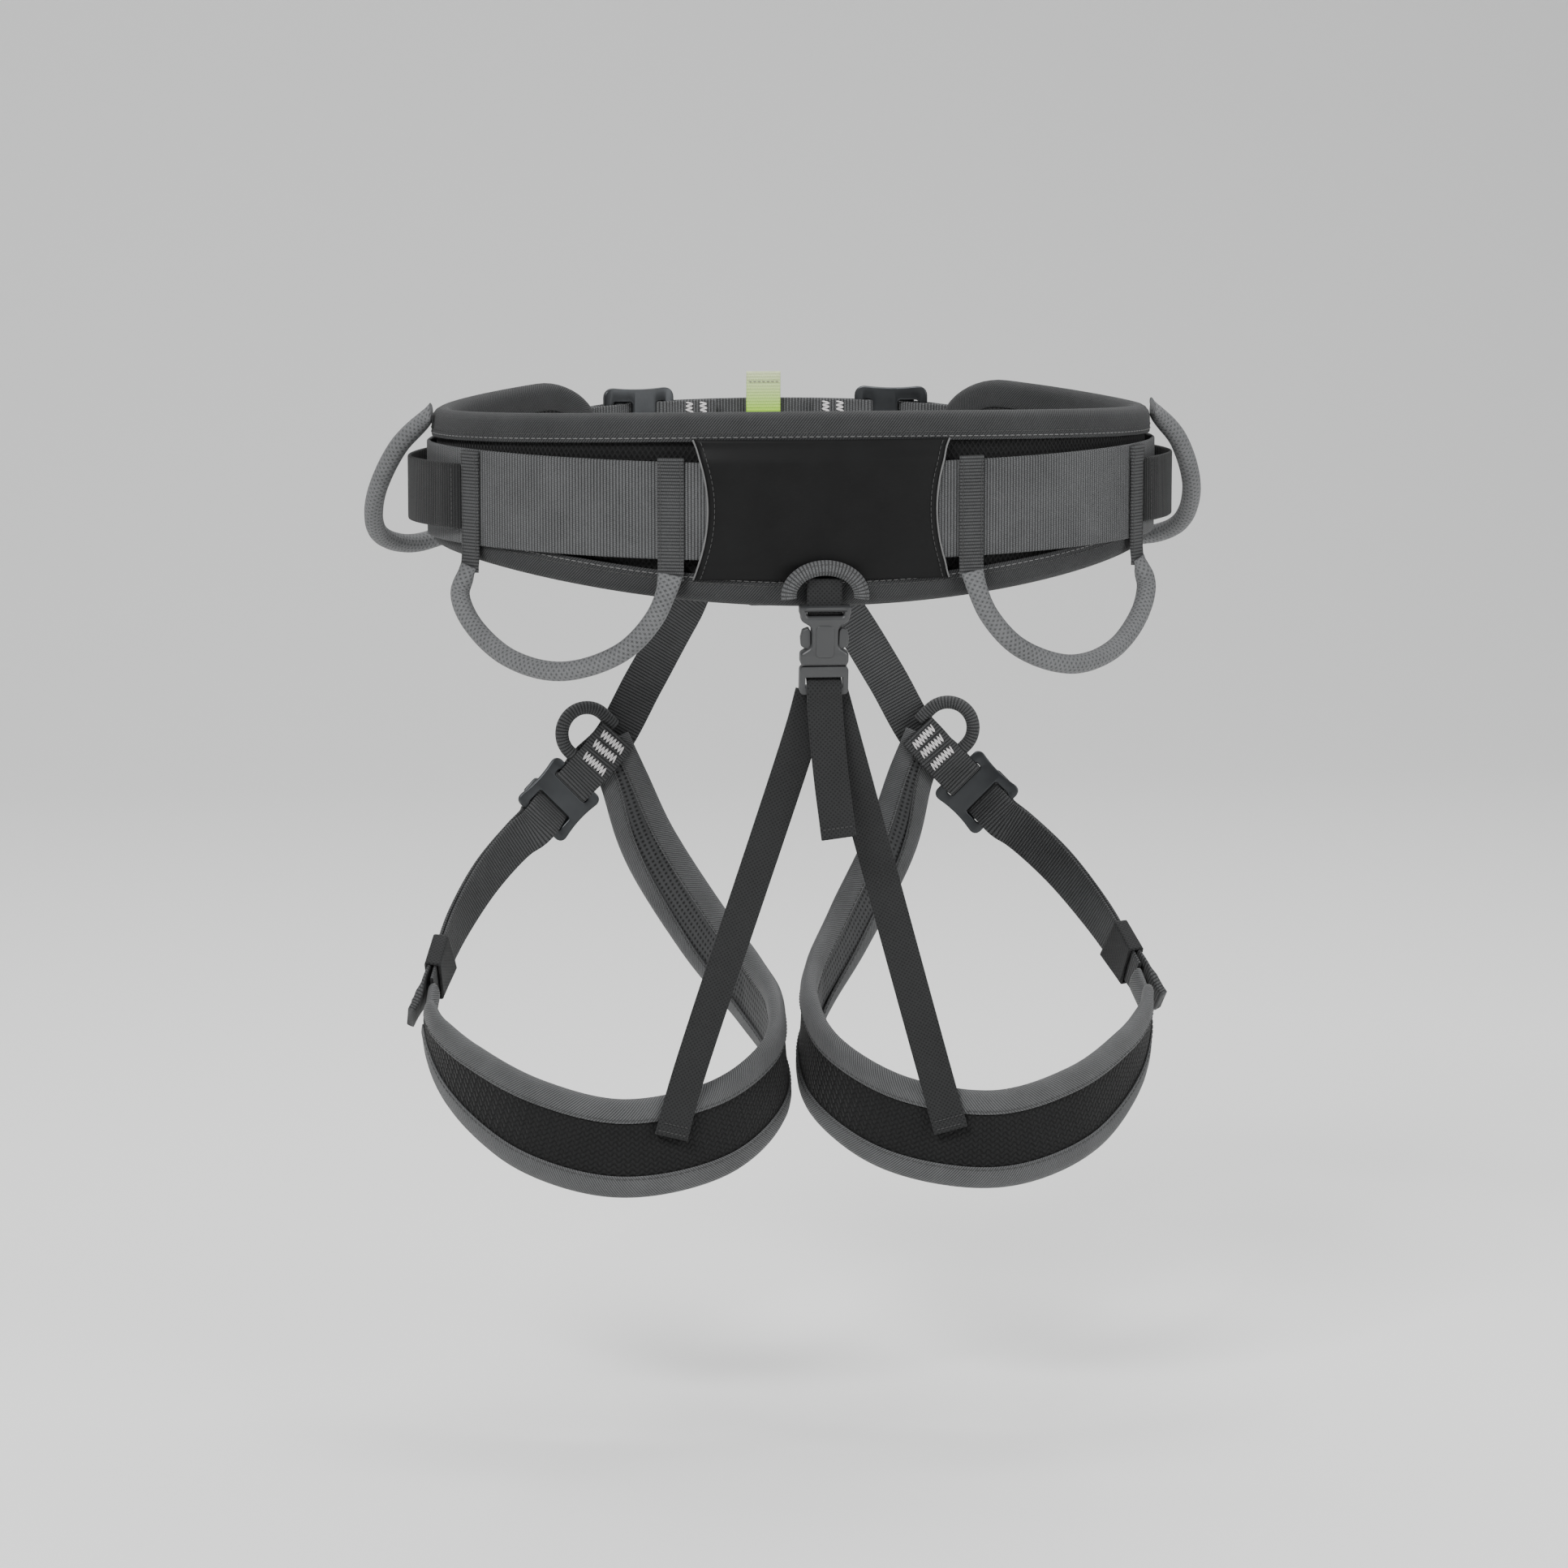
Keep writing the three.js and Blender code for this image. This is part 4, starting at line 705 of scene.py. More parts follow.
right_end = buckle_stops(ADJUSTING_END) + oval_stops([from_buckle(d) for d in (34, 52, 70)], TAIL_DEPTH)
round_waist = oval_stops(np.linspace(-from_buckle(26), from_buckle(26), 45), WEBBING_DEPTH)
waist_stops = mirrored(right_end) + round_waist + right_end
waist_band("waist_webbing", waist_stops, "waist", "webbing", webbing_grey, "waist_webbing")
fold_end = math.pi - math.asin(24 * MM / WAIST_HALF_WIDTH)
bridge_inner = BUCKLE_DEPTH - 3 * MM
bridge_outer = BUCKLE_DEPTH + 3.3 * MM
bridge_right = oval_stops([fold_end, math.radians(168)], bridge_inner) + buckle_stops(FIXED_END[::-1])
bridge_right += oval_stops([math.radians(172)], bridge_outer)
bridge_stops = bridge_right + oval_stops([math.pi], bridge_outer) + mirrored(bridge_right)
waist_band("front_bridge", bridge_stops, "waist", "webbing", webbing_grey, "front_bridge")

# ---------------------------------------------------------------------------------------------
# Waist buckles. Each is a stamped steel frame with two slots and waisted sides, and a loose slider
# over it that bites the webbing. Both are tumbled and blackened, so their edges are round.
buckle_metal = plain_material("blackened_steel", grey(0.05, 0.05), 0.36, 700, 0.04, metal=0.85, spread=0.3)
ARC_STEPS = 7


def round_corners(width, height, radius, middle=0.0, waisted=0.0):
    """Outline of a rectangle with quarter-circle corners, whose sides are drawn in towards the middle by
    a share that falls off with the square of the height."""
    w, h = width / 2 - radius, height / 2 - radius
    turn = np.linspace(0, math.pi / 2, ARC_STEPS)
    corner = radius * np.stack([np.cos(turn), np.sin(turn)], -1)
    parts = []
    for quarter, (x, y) in enumerate(((w, h), (-w, h), (-w, -h), (w, -h))):
        c, s = math.cos(quarter * math.pi / 2), math.sin(quarter * math.pi / 2)
        parts.append(corner @ np.array([[c, s], [-s, c]]) + [x, y])
    outline = np.concatenate(parts)
    outline[:, 0] *= 1 - waisted * (1 - (outline[:, 1] / (height / 2)) ** 2)
    return outline + [0, middle]


def side_points(outline, spacing):
    """The outline with points added on its long sides, so that they can curve."""
    closed = np.concatenate([outline, outline[:1]])
    parts = []
    for a, b in zip(closed[:-1], closed[1:]):
        count = max(1, int(np.linalg.norm(b - a) / spacing))
        parts.append(a + (b - a) * np.arange(count)[:, None] / count)
    return np.concatenate(parts)


def stamped_plate(name, outlines, thickness, edge, frame_axes):
    """A flat plate with holes and round edges: the outlines fill a flat curve, which is extruded and
    bevelled and then laid in a frame given by its middle, across, up and out."""
    curve = bpy.data.curves.new(name, "CURVE")
    curve.dimensions = "2D"
    curve.fill_mode = "BOTH"
    curve.extrude = thickness / 2 - edge
    curve.bevel_depth = edge
    curve.bevel_resolution = 3
    curve.offset = -edge
    for outline in outlines:
        spline = curve.splines.new("POLY")
        spline.points.add(len(outline) - 1)
        flat = np.zeros((len(outline), 4))
        flat[:, :2] = outline
        flat[:, 3] = 1
        spline.points.foreach_set("co", flat.ravel())
        spline.use_cyclic_u = True
    holder = bpy.data.objects.new(name + "_outline", curve)
    bpy.context.scene.collection.objects.link(holder)
    graph = bpy.context.evaluated_depsgraph_get()
    mesh = bpy.data.meshes.new_from_object(holder.evaluated_get(graph))
    bpy.data.objects.remove(holder)
    bpy.data.curves.remove(curve)
    co = np.empty(len(mesh.vertices) * 3)
    mesh.vertices.foreach_get("co", co)
    at, across, up, out = frame_axes
    co = co.reshape(-1, 3)
    mesh.vertices.foreach_set("co", (at + co[:, :1] * across + co[:, 1:2] * up + co[:, 2:] * out).ravel())
    work = bmesh.new()
    work.from_mesh(mesh)
    bmesh.ops.remove_doubles(work, verts=work.verts, dist=1e-6)
    bmesh.ops.recalc_face_normals(work, faces=work.faces)
    work.to_mesh(mesh)
    work.free()
    mesh.name = name
    mesh.materials.clear()
    mesh.polygons.foreach_set("use_smooth", [True] * len(mesh.polygons))
    mesh.set_sharp_from_angle(angle=math.radians(40))
    obj = bpy.data.objects.new(name, mesh)
    bpy.context.scene.collection.objects.link(obj)
    return obj


def make_buckle(label, body, slider_body, at, up, out, width, webbing, scale, waisted):
    """The frame plate and the slider of one buckle, in a frame whose up runs towards its fixed end."""
    across = np.cross(up, out)
    outer = side_points(round_corners(width, 30 * MM * scale, 4.5 * MM * scale), 2 * MM)
    outer[:, 0] *= 1 - waisted * (1 - (outer[:, 1] / (15 * MM * scale)) ** 2)
    upper = round_corners(webbing + 1 * MM, 3.4 * MM * scale, 1.2 * MM * scale, 9.1 * MM * scale)
    lower = round_corners(webbing + 1 * MM, 8.6 * MM * scale, 1.2 * MM * scale, -7.2 * MM * scale)
    plate = stamped_plate(f"{label}_frame", [outer, upper, lower], 2.6 * MM * scale, 0.7 * MM,
                          (at, across, up, out))
    name, side = label.rsplit("_", 1)
    finish_piece(plate, body, "buckle_metal", buckle_metal, f"{name}_frame_{side}")
    bar = side_points(round_corners(width - 4 * MM, 10 * MM * scale, 2 * MM * scale, -4 * MM * scale), 2 * MM)
    over = at + out * 5.1 * MM * scale
    slider = stamped_plate(f"{label}_slider", [bar], 2.2 * MM * scale, 0.8 * MM, (over, across, up, out))
    finish_piece(slider, slider_body, "buckle_metal", buckle_metal, f"{name}_slider_{side}")


SIDES = (("right", np.array([1, 1, 1])), ("left", MIRROR))
for side, flip in SIDES:
    make_buckle(f"waist_buckle_{side}", "waist", f"waist_slider_{side}", buckle_at * flip, buckle_up * flip,
                buckle_out * flip, 60 * MM, WEBBING_WIDTH, BUCKLE_SCALE, 0.05)

# ---------------------------------------------------------------------------------------------
# Keepers hold down the folded tails of the waist webbing: short dark elastic bands sewn round both
# layers, 14 mm wide.
elastic_black = cloth_material("elastic_weave", grey(0.002), grey(0.022, 0.02), diamonds, 0.8, 0.3)
KEEPER_ANGLE = math.radians(141)
KEEPER_WIDTH = 14 * MM


def arch_section(half_width, foot, top, thick):
    """A flat bracket: two legs down past the webbing's edges and a crown over it, with round shoulders."""
    turn = np.linspace(0, math.pi / 2, 6)
    r = 1.6 * MM
    right = np.stack([half_width - r + (r + thick) * np.cos(turn), top - r + (r + thick) * np.sin(turn)], -1)
    outer = np.concatenate([[[half_width + thick, foot]], right])
    outer = np.concatenate([outer, outer[::-1] * [-1, 1]])
    inner_turn = np.stack([half_width - r + r * np.cos(turn), top - r + r * np.sin(turn)], -1)
    inner = np.concatenate([[[half_width, foot]], inner_turn])
    inner = np.concatenate([inner, inner[::-1] * [-1, 1]])[::-1]
    return np.concatenate([outer, inner])


for side, flip in SIDES:
    reach = KEEPER_WIDTH / 2 / waist_radius(KEEPER_ANGLE)
    angle = np.linspace(KEEPER_ANGLE - reach, KEEPER_ANGLE + reach, 9)
    path = waist_point(angle, 0, webbing_rise(angle)) * flip
    section = arch_section(WEBBING_WIDTH / 2 + 0.3 * MM, WEBBING_DEPTH, TAIL_DEPTH + 1.25 * MM, 1.2 * MM)
    up = np.tile([0.0, 0, 1], (len(path), 1))
    keeper = carried(f"waist_keeper_{side}", path, up, waist_normal(angle) * flip, section)
    finish_piece(keeper, "waist", "dark_webbing", webbing_dark, f"waist_keeper_{side}")

# ---------------------------------------------------------------------------------------------
# Rear patch: a panel of rubber-coated cloth that covers the webbing in the middle of the back. Its
# sides are cut hollow and edged with thin light piping, and its top and bottom tuck under the bindings.
PATCH_LOW, PATCH_HIGH = -46.5 * MM, 16.5 * MM
PATCH_DEPTH = 4.1 * MM
PATCH_THICK = 1.2 * MM
patch_black = plain_material("coated_patch", grey(0.0035, 0.02), 0.62, 1600, 0.06, spread=0.55, shine=0.18)
piping_grey = plain_material("piping", grey(0.11), 0.6)


def patch_half_angle(z):
    """Half the patch's angle: widest at its top and bottom, drawn in by the squared distance from its
    middle."""
    share = (z - (PATCH_LOW + PATCH_HIGH) / 2) / ((PATCH_HIGH - PATCH_LOW) / 2)
    return np.radians(17.7 + 2.4 * share**2)


def patch_depth(z):
    """Depth of the patch's under side: over the webbing, easing down onto the padding beyond its edges."""
    middle = -16 * MM
    beyond = np.clip((np.abs(z - middle) - WEBBING_WIDTH / 2) / (8 * MM), 0, 1)
    return PATCH_DEPTH - 2.3 * MM * beyond**2 * (3 - 2 * beyond)


patch_z = np.linspace(PATCH_LOW, PATCH_HIGH, 42)[:, None]
share = np.linspace(-1, 1, 45)[None, :]
edge = 1 - np.abs(share) ** 24
patch_a = patch_half_angle(patch_z) * share
outer = waist_point(patch_a, patch_depth(patch_z) + PATCH_THICK * (0.35 + 0.65 * edge), patch_z + 0 * patch_a)
inner = waist_point(patch_a, patch_depth(patch_z) + 0 * patch_a, patch_z + 0 * patch_a)
patch_rings = np.concatenate([outer, inner[:, ::-1]], 1)
patch = lofted("rear_patch", patch_rings, patch_z[:, 0], np.linspace(0, 0.24, patch_rings.shape[1] + 1))
finish_piece(patch, "waist", "patch", patch_black, "rear_patch")
for side, sign in (("right", 1), ("left", -1)):
    z = np.linspace(PATCH_LOW, PATCH_HIGH, 42)
    line = waist_point(sign * patch_half_angle(z), patch_depth(z) + 0.5 * MM, z)
    face = waist_normal(sign * patch_half_angle(z))
    piping = carried(f"patch_piping_{side}", line, np.cross(face, direction(line)), face,
                     oval_section(0.45 * MM, 0.45 * MM, 10))
    finish_piece(piping, "waist", "patch", piping_grey)
    inset = sign * (patch_half_angle(z) - np.radians(1.1))
    line = waist_point(inset, patch_depth(z) + PATCH_THICK + 0.1 * MM, z)
    finish_piece(seam(f"patch_stitching_{side}", line, waist_normal(inset), 2.6 * MM, 2.0 * MM, 0.2 * MM),
                 "waist",
                 "patch", thread_dark)

# ---------------------------------------------------------------------------------------------
# Gear tapes and gear loops. A loop is braided sleeve over a stiff core. Its ends are pressed flat
# and sewn into ribbed tapes that stand upright across the waist webbing.
tape_grey = cloth_material("tape_ribbed", grey(0.01, 0.02), grey(0.075, 0.02), ribs, 0.8, 0.4)


def braid(tree, u, v):
    """A braided sleeve: crossing strands, with finer threads along each strand."""
    one = wave(tree, math_node(tree, "ADD", u, math_node(tree, "MULTIPLY", v, 0.7)), 2.5 * MM)
    two = wave(tree, math_node(tree, "SUBTRACT", u, math_node(tree, "MULTIPLY", v, 0.7)), 2.5 * MM)
    strands = math_node(tree, "MULTIPLY", math_node(tree, "MAXIMUM", one, two), 0.75)
    return math_node(tree, "ADD", strands, math_node(tree, "MULTIPLY", wave(tree, v, 0.7 * MM), 0.25))


braid_grey = cloth_material("braided_sleeve", grey(0.008, 0.02), grey(0.16, 0.02), braid, 0.65, 0.6)
GEAR_TAPE_ANGLES = {"inner": math.radians(23.5), "outer": math.radians(64)}
GEAR_TAPE_TOP, GEAR_TAPE_BOTTOM = 8.5 * MM, -47 * MM
GEAR_TAPE_DEPTH = 4.9 * MM
REAR_LOOP = [(23.5, 6.2, -44), (24, 7.8, -51), (26, 9, -64), (31, 11, -79), (41, 12, -88.5), (52, 11, -84),
             (62, 9.5, -69), (65.5, 8.6, -57), (64.5, 7.4, -49), (64, 6.2, -44)]
SIDE_LOOP = [(85.5, 3, 24), (87, 5, 20.5), (90.5, 17, 7), (97, 29, -18), (105, 33, -37), (115, 28, -44),
             (124, 18, -37), (129, 9.4, -25), (131, 5.3, -20)]


def tape_rest(z):
    """How far a gear tape's middle stands out: over the webbing, and 1 mm less beyond its lower edge."""
    beyond = np.clip((-37 * MM - z) / (7 * MM), 0, 1)
    return GEAR_TAPE_DEPTH + 0.6 * MM * beyond**2


for side, flip in SIDES:
    for place, angle in GEAR_TAPE_ANGLES.items():
        z = np.linspace(GEAR_TAPE_BOTTOM, GEAR_TAPE_TOP, 60)
        path = waist_point(angle, tape_rest(z), z) * flip
        out = np.tile(waist_normal(np.array(angle)) * flip, (len(z), 1))
        across = np.cross(out, np.tile([0.0, 0, 1], (len(z), 1)))
        fold = 1 + 0.7 * np.exp(-(((z - GEAR_TAPE_TOP + 3 * MM) / (4 * MM)) ** 4))
        tape = carried(f"gear_tape_{place}_{side}", path, across, out, tape_section(12 * MM, 1.5 * MM),
                       thick=fold)
        finish_piece(tape, "waist", "binding_tape", tape_grey, f"gear_tape_{place}_{side}")
        for edge_side in (-1, 1):
            line = path + across * edge_side * 4.6 * MM + out * (0.75 * MM * fold[:, None] + 0.1 * MM)
            threads = seam(f"gear_tape_stitching_{place}_{side}_{edge_side + 2}", line[6:-3], out[6:-3],
                           2.4 * MM,
                           1.9 * MM, 0.24 * MM)
            finish_piece(threads, "waist", "binding_tape", thread_dark)
    for label, stops in (("rear", REAR_LOOP), ("side", SIDE_LOOP)):
        stops = np.array(stops)
        angles = np.radians(stops[:, 0])
        points = waist_point(angles, stops[:, 1] * MM, stops[:, 2] * MM)
        path, places = smooth_path(points, 1.6 * MM)
        out = mixed(waist_normal(angles) + [0, 0, 0.2], places)
        forward = direction(path)
        out -= forward * np.sum(out * forward, 1, keepdims=True)
        out /= np.linalg.norm(out, axis=1, keepdims=True)
        last = len(stops) - 1
        near_end = np.minimum(places, last - places)
        flatness = np.clip(near_end / 1.6, 0, 1)
        ease = flatness**2 * (3 - 2 * flatness)
        loop = carried(f"gear_loop_{label}_{side}", path * flip, np.cross(out, forward) * flip, out * flip,
                       oval_section(4.5 * MM, 4.5 * MM, 18), width=1.25 - 0.25 * ease, thick=0.3 + 0.7 * ease)
        finish_piece(loop, f"gear_loop_{label}_{side}", "braid", braid_grey, f"gear_loop_{label}_{side}")

# ---------------------------------------------------------------------------------------------
# Tool slots: a flat dark webbing at each side that stands off the belt between its two sewn ends,
# so that the clip of a tool holder slides in behind it.
SLOT_FROM, SLOT_TO = math.radians(66.5), math.radians(118)
SLOT_DEPTH = 5.0 * MM
SLOT_BULGE = 7 * MM
for side, flip in SIDES:
    angle = np.linspace(SLOT_FROM, SLOT_TO, 70)
    share = (angle - SLOT_FROM) / (SLOT_TO - SLOT_FROM)
    lift = SLOT_DEPTH + SLOT_BULGE * np.sin(math.pi * share) ** 0.8
    path = waist_point(angle, lift, webbing_rise(angle)) * flip
    up = np.tile([0.0, 0, 1], (len(path), 1))
    out = np.cross(direction(path), up) * (1 if side == "right" else -1)
    hem = 1 + 0.8 * np.exp(-((np.minimum(share, 1 - share) * 90 - 6) / 5) ** 4)
    slot = carried(f"tool_slot_{side}", path, up, out, tape_section(30 * MM, 1.7 * MM, 12), thick=hem)
    finish_piece(slot, "waist", "dark_webbing", webbing_dark, f"tool_slot_{side}")
    for n, at in enumerate((0.045, 0.955)):
        row = int(at * 69)
        z = np.linspace(-13.5, 13.5, 30) * MM
        line = path[row] + up[row] * z[:, None] + out[row] * 1.5 * MM
        finish_piece(seam(f"tool_slot_stitching_{side}_{n + 1}", line, np.tile(out[row], (30, 1)), 2.2 * MM,
                          1.7 * MM,
                          0.24 * MM), "waist", "dark_webbing", thread_dark)

# ---------------------------------------------------------------------------------------------
# Haul loop: an arch of webbing rolled into a tube over cord and sewn through at the foot of the
# patch, and the black tab of elastic webbing that hangs from it and holds the release buckle.
HAUL_MIDDLE = -119.6 * MM
turn = np.linspace(-0.12, math.pi + 0.12, 60)
arch = np.stack([-16.5 * MM * np.cos(turn), 0 * turn + HAUL_MIDDLE, -53 * MM + 12.5 * MM * np.sin(turn)], -1)
arch_forward = direction(arch)
arch_side = np.tile([0.0, -1, 0], (len(arch), 1))
arch_out = np.cross(arch_forward, arch_side)
haul = carried("haul_loop", arch, arch_side, arch_out, oval_section(3 * MM, 3.5 * MM, 20))
finish_piece(haul, "waist", "webbing", webbing_grey, "haul_loop")
for n, tilt in enumerate((-0.5, 0.5)):
    face = arch_side * math.cos(tilt) + arch_out * math.sin(tilt)
    line = arch + arch_side * 3 * MM * math.cos(tilt) + arch_out * 3.5 * MM * math.sin(tilt)
    finish_piece(seam(f"haul_loop_stitching_{n + 1}", line, face, 2.2 * MM, 1.7 * MM, 0.22 * MM), "waist",
                 "webbing",
                 thread_dark)
z = np.linspace(-61.6, -45.5, 18) * MM
hang = np.stack([0 * z, -118.1 * MM - 0.5 * MM * np.sin((z + 45.5 * MM) / (12.9 * MM) * math.pi), z], -1)
facing = np.tile([0.0, -1, 0], (len(z), 1))
hanger = carried("buckle_hanger", hang, np.tile([1.0, 0, 0], (len(z), 1)), facing,
                 tape_section(16 * MM, 1.6 * MM))
finish_piece(hanger, "waist", "elastic", elastic_black, "buckle_hanger")

# ---------------------------------------------------------------------------------------------
# Side-release buckle: a moulded nylon socket whose windows show the round pads of the plug's two
# springy prongs. The moulding's own edges are rounded over.
nylon_grey = plain_material("moulded_nylon", grey(0.035, 0.03), 0.42, 1300, 0.05, spread=0.12)


def rounded_moulding(node, body, width):
    """A copy of a moulded part with its doubled vertices merged, its sharp edges rounded over and its new
    faces weighted by area, so that flat faces stay flat."""
    source = bpy.data.objects[node]
    mesh = source.data.copy()
    mesh.name = f"{node}_moulding"
    work = bmesh.new()
    work.from_mesh(mesh)
    bmesh.ops.remove_doubles(work, verts=work.verts, dist=1e-6)
    bmesh.ops.dissolve_limit(work, angle_limit=math.radians(1), verts=work.verts, edges=work.edges)
    bmesh.ops.recalc_face_normals(work, faces=work.faces)
    work.to_mesh(mesh)
    work.free()
    mesh.materials.clear()
    mesh.polygons.foreach_set("use_smooth", [True] * len(mesh.polygons))
    obj = bpy.data.objects.new(f"{node}_moulding", mesh)
    bpy.context.scene.collection.objects.link(obj)
    round_over = obj.modifiers.new("round_over", "BEVEL")
    round_over.width = width
    round_over.segments = 3
    round_over.limit_method = "ANGLE"
    round_over.angle_limit = math.radians(25)
    round_over.harden_normals = True
    return finish_piece(obj, body, "buckle_plastic", nylon_grey, node)


rounded_moulding("buckle_plug", "seat", 0.6 * MM)
rounded_moulding("plug_prong_right", "prong_right", 0.7 * MM)
rounded_moulding("plug_prong_left", "prong_left", 0.7 * MM)

release_at = np.array([0, -118.3, -58]) * MM
RELEASE_TILT = math.radians(8.223)


def from_release(points):
    """Points in the release buckle's own frame, which is tilted about +X."""
    points = np.asarray(points, float) * MM
    c, s = math.cos(RELEASE_TILT), math.sin(RELEASE_TILT)
    turned = points @ np.array([[1, 0, 0], [0, c, s], [0, -s, c]])
    return turned + release_at


SOCKET_HALF_WIDTH = 11
socket_height = np.linspace(0.6, -27, 70)
neck = np.exp(-((socket_height + 13.6) / 6.4) ** 6)
lip = 1.1 * np.exp(-((socket_height + 1.4) / 2.2) ** 4)
socket_side = SOCKET_HALF_WIDTH - 4.9 * neck - 0.8 * np.exp(-((socket_height + 27) / 1.1) ** 2) + lip * 0.6
socket_outline = np.concatenate([
    np.stack([socket_side, socket_height], -1), np.stack([-socket_side, socket_height], -1)[::-1],
]) * MM
socket_axes = (release_at, np.array([1.0, 0, 0]), from_release([0, 0, 1]) - release_at,
               release_at - from_release([0, 1, 0]))
socket_axes = (socket_axes[0], socket_axes[1], socket_axes[2] / MM, socket_axes[3] / MM)
web_slot = round_corners(16.6 * MM, 2.6 * MM, 1 * MM, -2.6 * MM)
socket = stamped_plate("buckle_socket_body", [socket_outline, web_slot], 7.4 * MM, 1.6 * MM, socket_axes)
finish_piece(socket, "waist", "buckle_plastic", nylon_grey, "buckle_socket")
panel = round_corners(9 * MM, 15 * MM, 2.5 * MM, -15.5 * MM, waisted=0.12)
panel_axes = (from_release([0, -3.4, 0]), *socket_axes[1:])
finish_piece(stamped_plate("socket_panel", [side_points(panel, 1.5 * MM)], 1.4 * MM, 0.5 * MM, panel_axes),
             "waist",
             "buckle_plastic", nylon_grey)

# ---------------------------------------------------------------------------------------------
# Front of the belt: bartacks on the bridge's two sewn ends, and the pull tab of bright green
# webbing that is sewn under them, with a painted highlight that pales it towards its top.
bartack_white = plain_material("bartack_thread", (0.62, 0.6, 0.6), 0.6)


def bartack(name, centre, along, across, out, length, width, rows):
    """Dense zigzag stitching: threads laid across a bar at alternating slants, one row beside the next."""
    n = np.arange(rows)
    place = (n / (rows - 1) - 0.5) * length
    slant = np.where(n % 2, 1, -1)[:, None] * 0.22
    ways = across[None] + slant * along[None]
    ways /= np.linalg.norm(ways, axis=1, keepdims=True)
    centres = centre + along * place[:, None] + out * 0.15 * MM
    jitter = rng.uniform(-0.25, 0.25, len(n))[:, None] * MM
    ups = np.tile(out, (rows, 1))
    ups = ups - ways * np.sum(ups * ways, 1, keepdims=True)
    ups /= np.linalg.norm(ups, axis=1, keepdims=True)
    return stitches(name, centres + across * jitter, ways, ups, width, 0.42 * MM)


green_tape = cloth_material("green_tape", (0.22, 0.5, 0.02), (0.45, 0.75, 0.06), ribs, 0.7, 0.35, mottle=0.1)
# painted highlight: the tab is mixed towards pale yellow-green from 14 mm to 36 mm height, standing in for
# the light on its top
paint_highlight_with_height(green_tape, 14 * MM, 36 * MM, (0.72, 0.78, 0.5))
for side, sign in (("right", 1), ("left", -1)):
    for n, x in enumerate((30 * MM, 37 * MM)):
        angle = sign * (math.pi - math.asin(x / WAIST_HALF_WIDTH))
        normal = waist_normal(np.array(angle))
        along = np.array([-normal[1], normal[0], 0])
        centre = waist_point(angle, bridge_inner - 1.05 * MM, 7 * MM)
        finish_piece(bartack(f"bridge_bartack_{side}_{n + 1}", centre, np.array([0, 0, 1.0]), along, -normal,
                             24 * MM,
                             3.6 * MM, 26), "waist", "webbing", bartack_white)
z = np.linspace(1, 34, 30) * MM
lean = 0.9 * MM * np.sin((z - 1 * MM) / (33 * MM) * math.pi)
tab_depth = bridge_inner + 1.7 * MM
tab_path = waist_point(math.pi, tab_depth, z) + np.stack([0 * z, lean * 0.6, 0 * z], -1)
tab_ease = 1 + 0.9 * np.exp(-(((z - 34 * MM) / (3.5 * MM)) ** 4))
centre_tab = carried("centre_tab", tab_path, np.tile([1.0, 0, 0], (30, 1)), np.tile([0, 1.0, 0], (30, 1)),
                     tape_section(17 * MM, 1.2 * MM), thick=tab_ease)
finish_piece(centre_tab, "waist", "tab", green_tape, "centre_tab")
finish_piece(seam("centre_tab_stitching",
                  waist_point(math.radians(180) + np.linspace(-0.045, 0.045, 12), tab_depth
                                                      - 0.9 * MM, 29 * MM),
                  -waist_normal(math.pi + np.linspace(-0.045, 0.045, 12)), 2.2 * MM, 1.6 * MM, 0.22 * MM),
             "waist", "tab", thread_grey)

# ---------------------------------------------------------------------------------------------
# Tie-in at the front. A flat tape loop comes out from between the bridge's layers, and the sewn
# ventral loop hangs in it, doubled and bartacked, with the bridge of the leg risers inside it.
TIE_IN_Y = WAIST_HALF_DEPTH + BUCKLE_DEPTH
half_loop = np.array([[30, 6], [30, -20], [24, -30], [12, -35], [0, -36]])
full_loop = np.concatenate([half_loop, half_loop[-2::-1] * [-1, 1]])
stops = np.stack([full_loop[:, 0], TIE_IN_Y / MM - 0.002 * full_loop[:, 0] ** 2, full_loop[:, 1]], -1) * MM
path, places = smooth_path(stops)
forward = direction(path)
facing = np.tile([0, 1.0, 0], (len(path), 1))
facing -= forward * np.sum(facing * forward, 1, keepdims=True)
facing /= np.linalg.norm(facing, axis=1, keepdims=True)
gather = mixed([1.1, 1.1, 1.6, 3, 3.5, 3, 1.6, 1.1, 1.1], places)
tie_in = carried("tie_in_loop", path, np.cross(facing, forward), facing, oval_section(3.5 * MM, 1 * MM, 16),
                 thick=gather)
finish_piece(tie_in, "waist", "binding_tape", tape_grey, "tie_in_loop")

VENTRAL_AXIS = np.array([0, TIE_IN_Y, -51 * MM])
VENTRAL_RADIUS = 13.5 * MM
rise = np.linspace(-27 * MM + 11.5 * MM, 22.5 * MM - 11.5 * MM, 14)
turn = np.linspace(0, math.pi, 26)[1:-1]
ring_y = np.concatenate([0 * rise + VENTRAL_RADIUS, VENTRAL_RADIUS * np.cos(turn), 0 * rise - VENTRAL_RADIUS,
                         -VENTRAL_RADIUS * np.cos(turn)])
ring_z = np.concatenate([rise, rise[-1] + VENTRAL_RADIUS * np.sin(turn), rise[::-1],
                         rise[0] - VENTRAL_RADIUS * np.sin(turn)])
ring = VENTRAL_AXIS + np.stack([0 * ring_y, ring_y, ring_z], -1)
ring_side = np.tile([1.0, 0, 0], (len(ring), 1))
ring_out = np.cross(ring_side, direction(ring, closed=True))
ventral_loop = carried("ventral_loop", ring, ring_side, ring_out, tape_section(16 * MM, 4 * MM, 10),
                       closed=True)
finish_piece(ventral_loop, "ventral_loop", "webbing", webbing_grey, "ventral_loop")
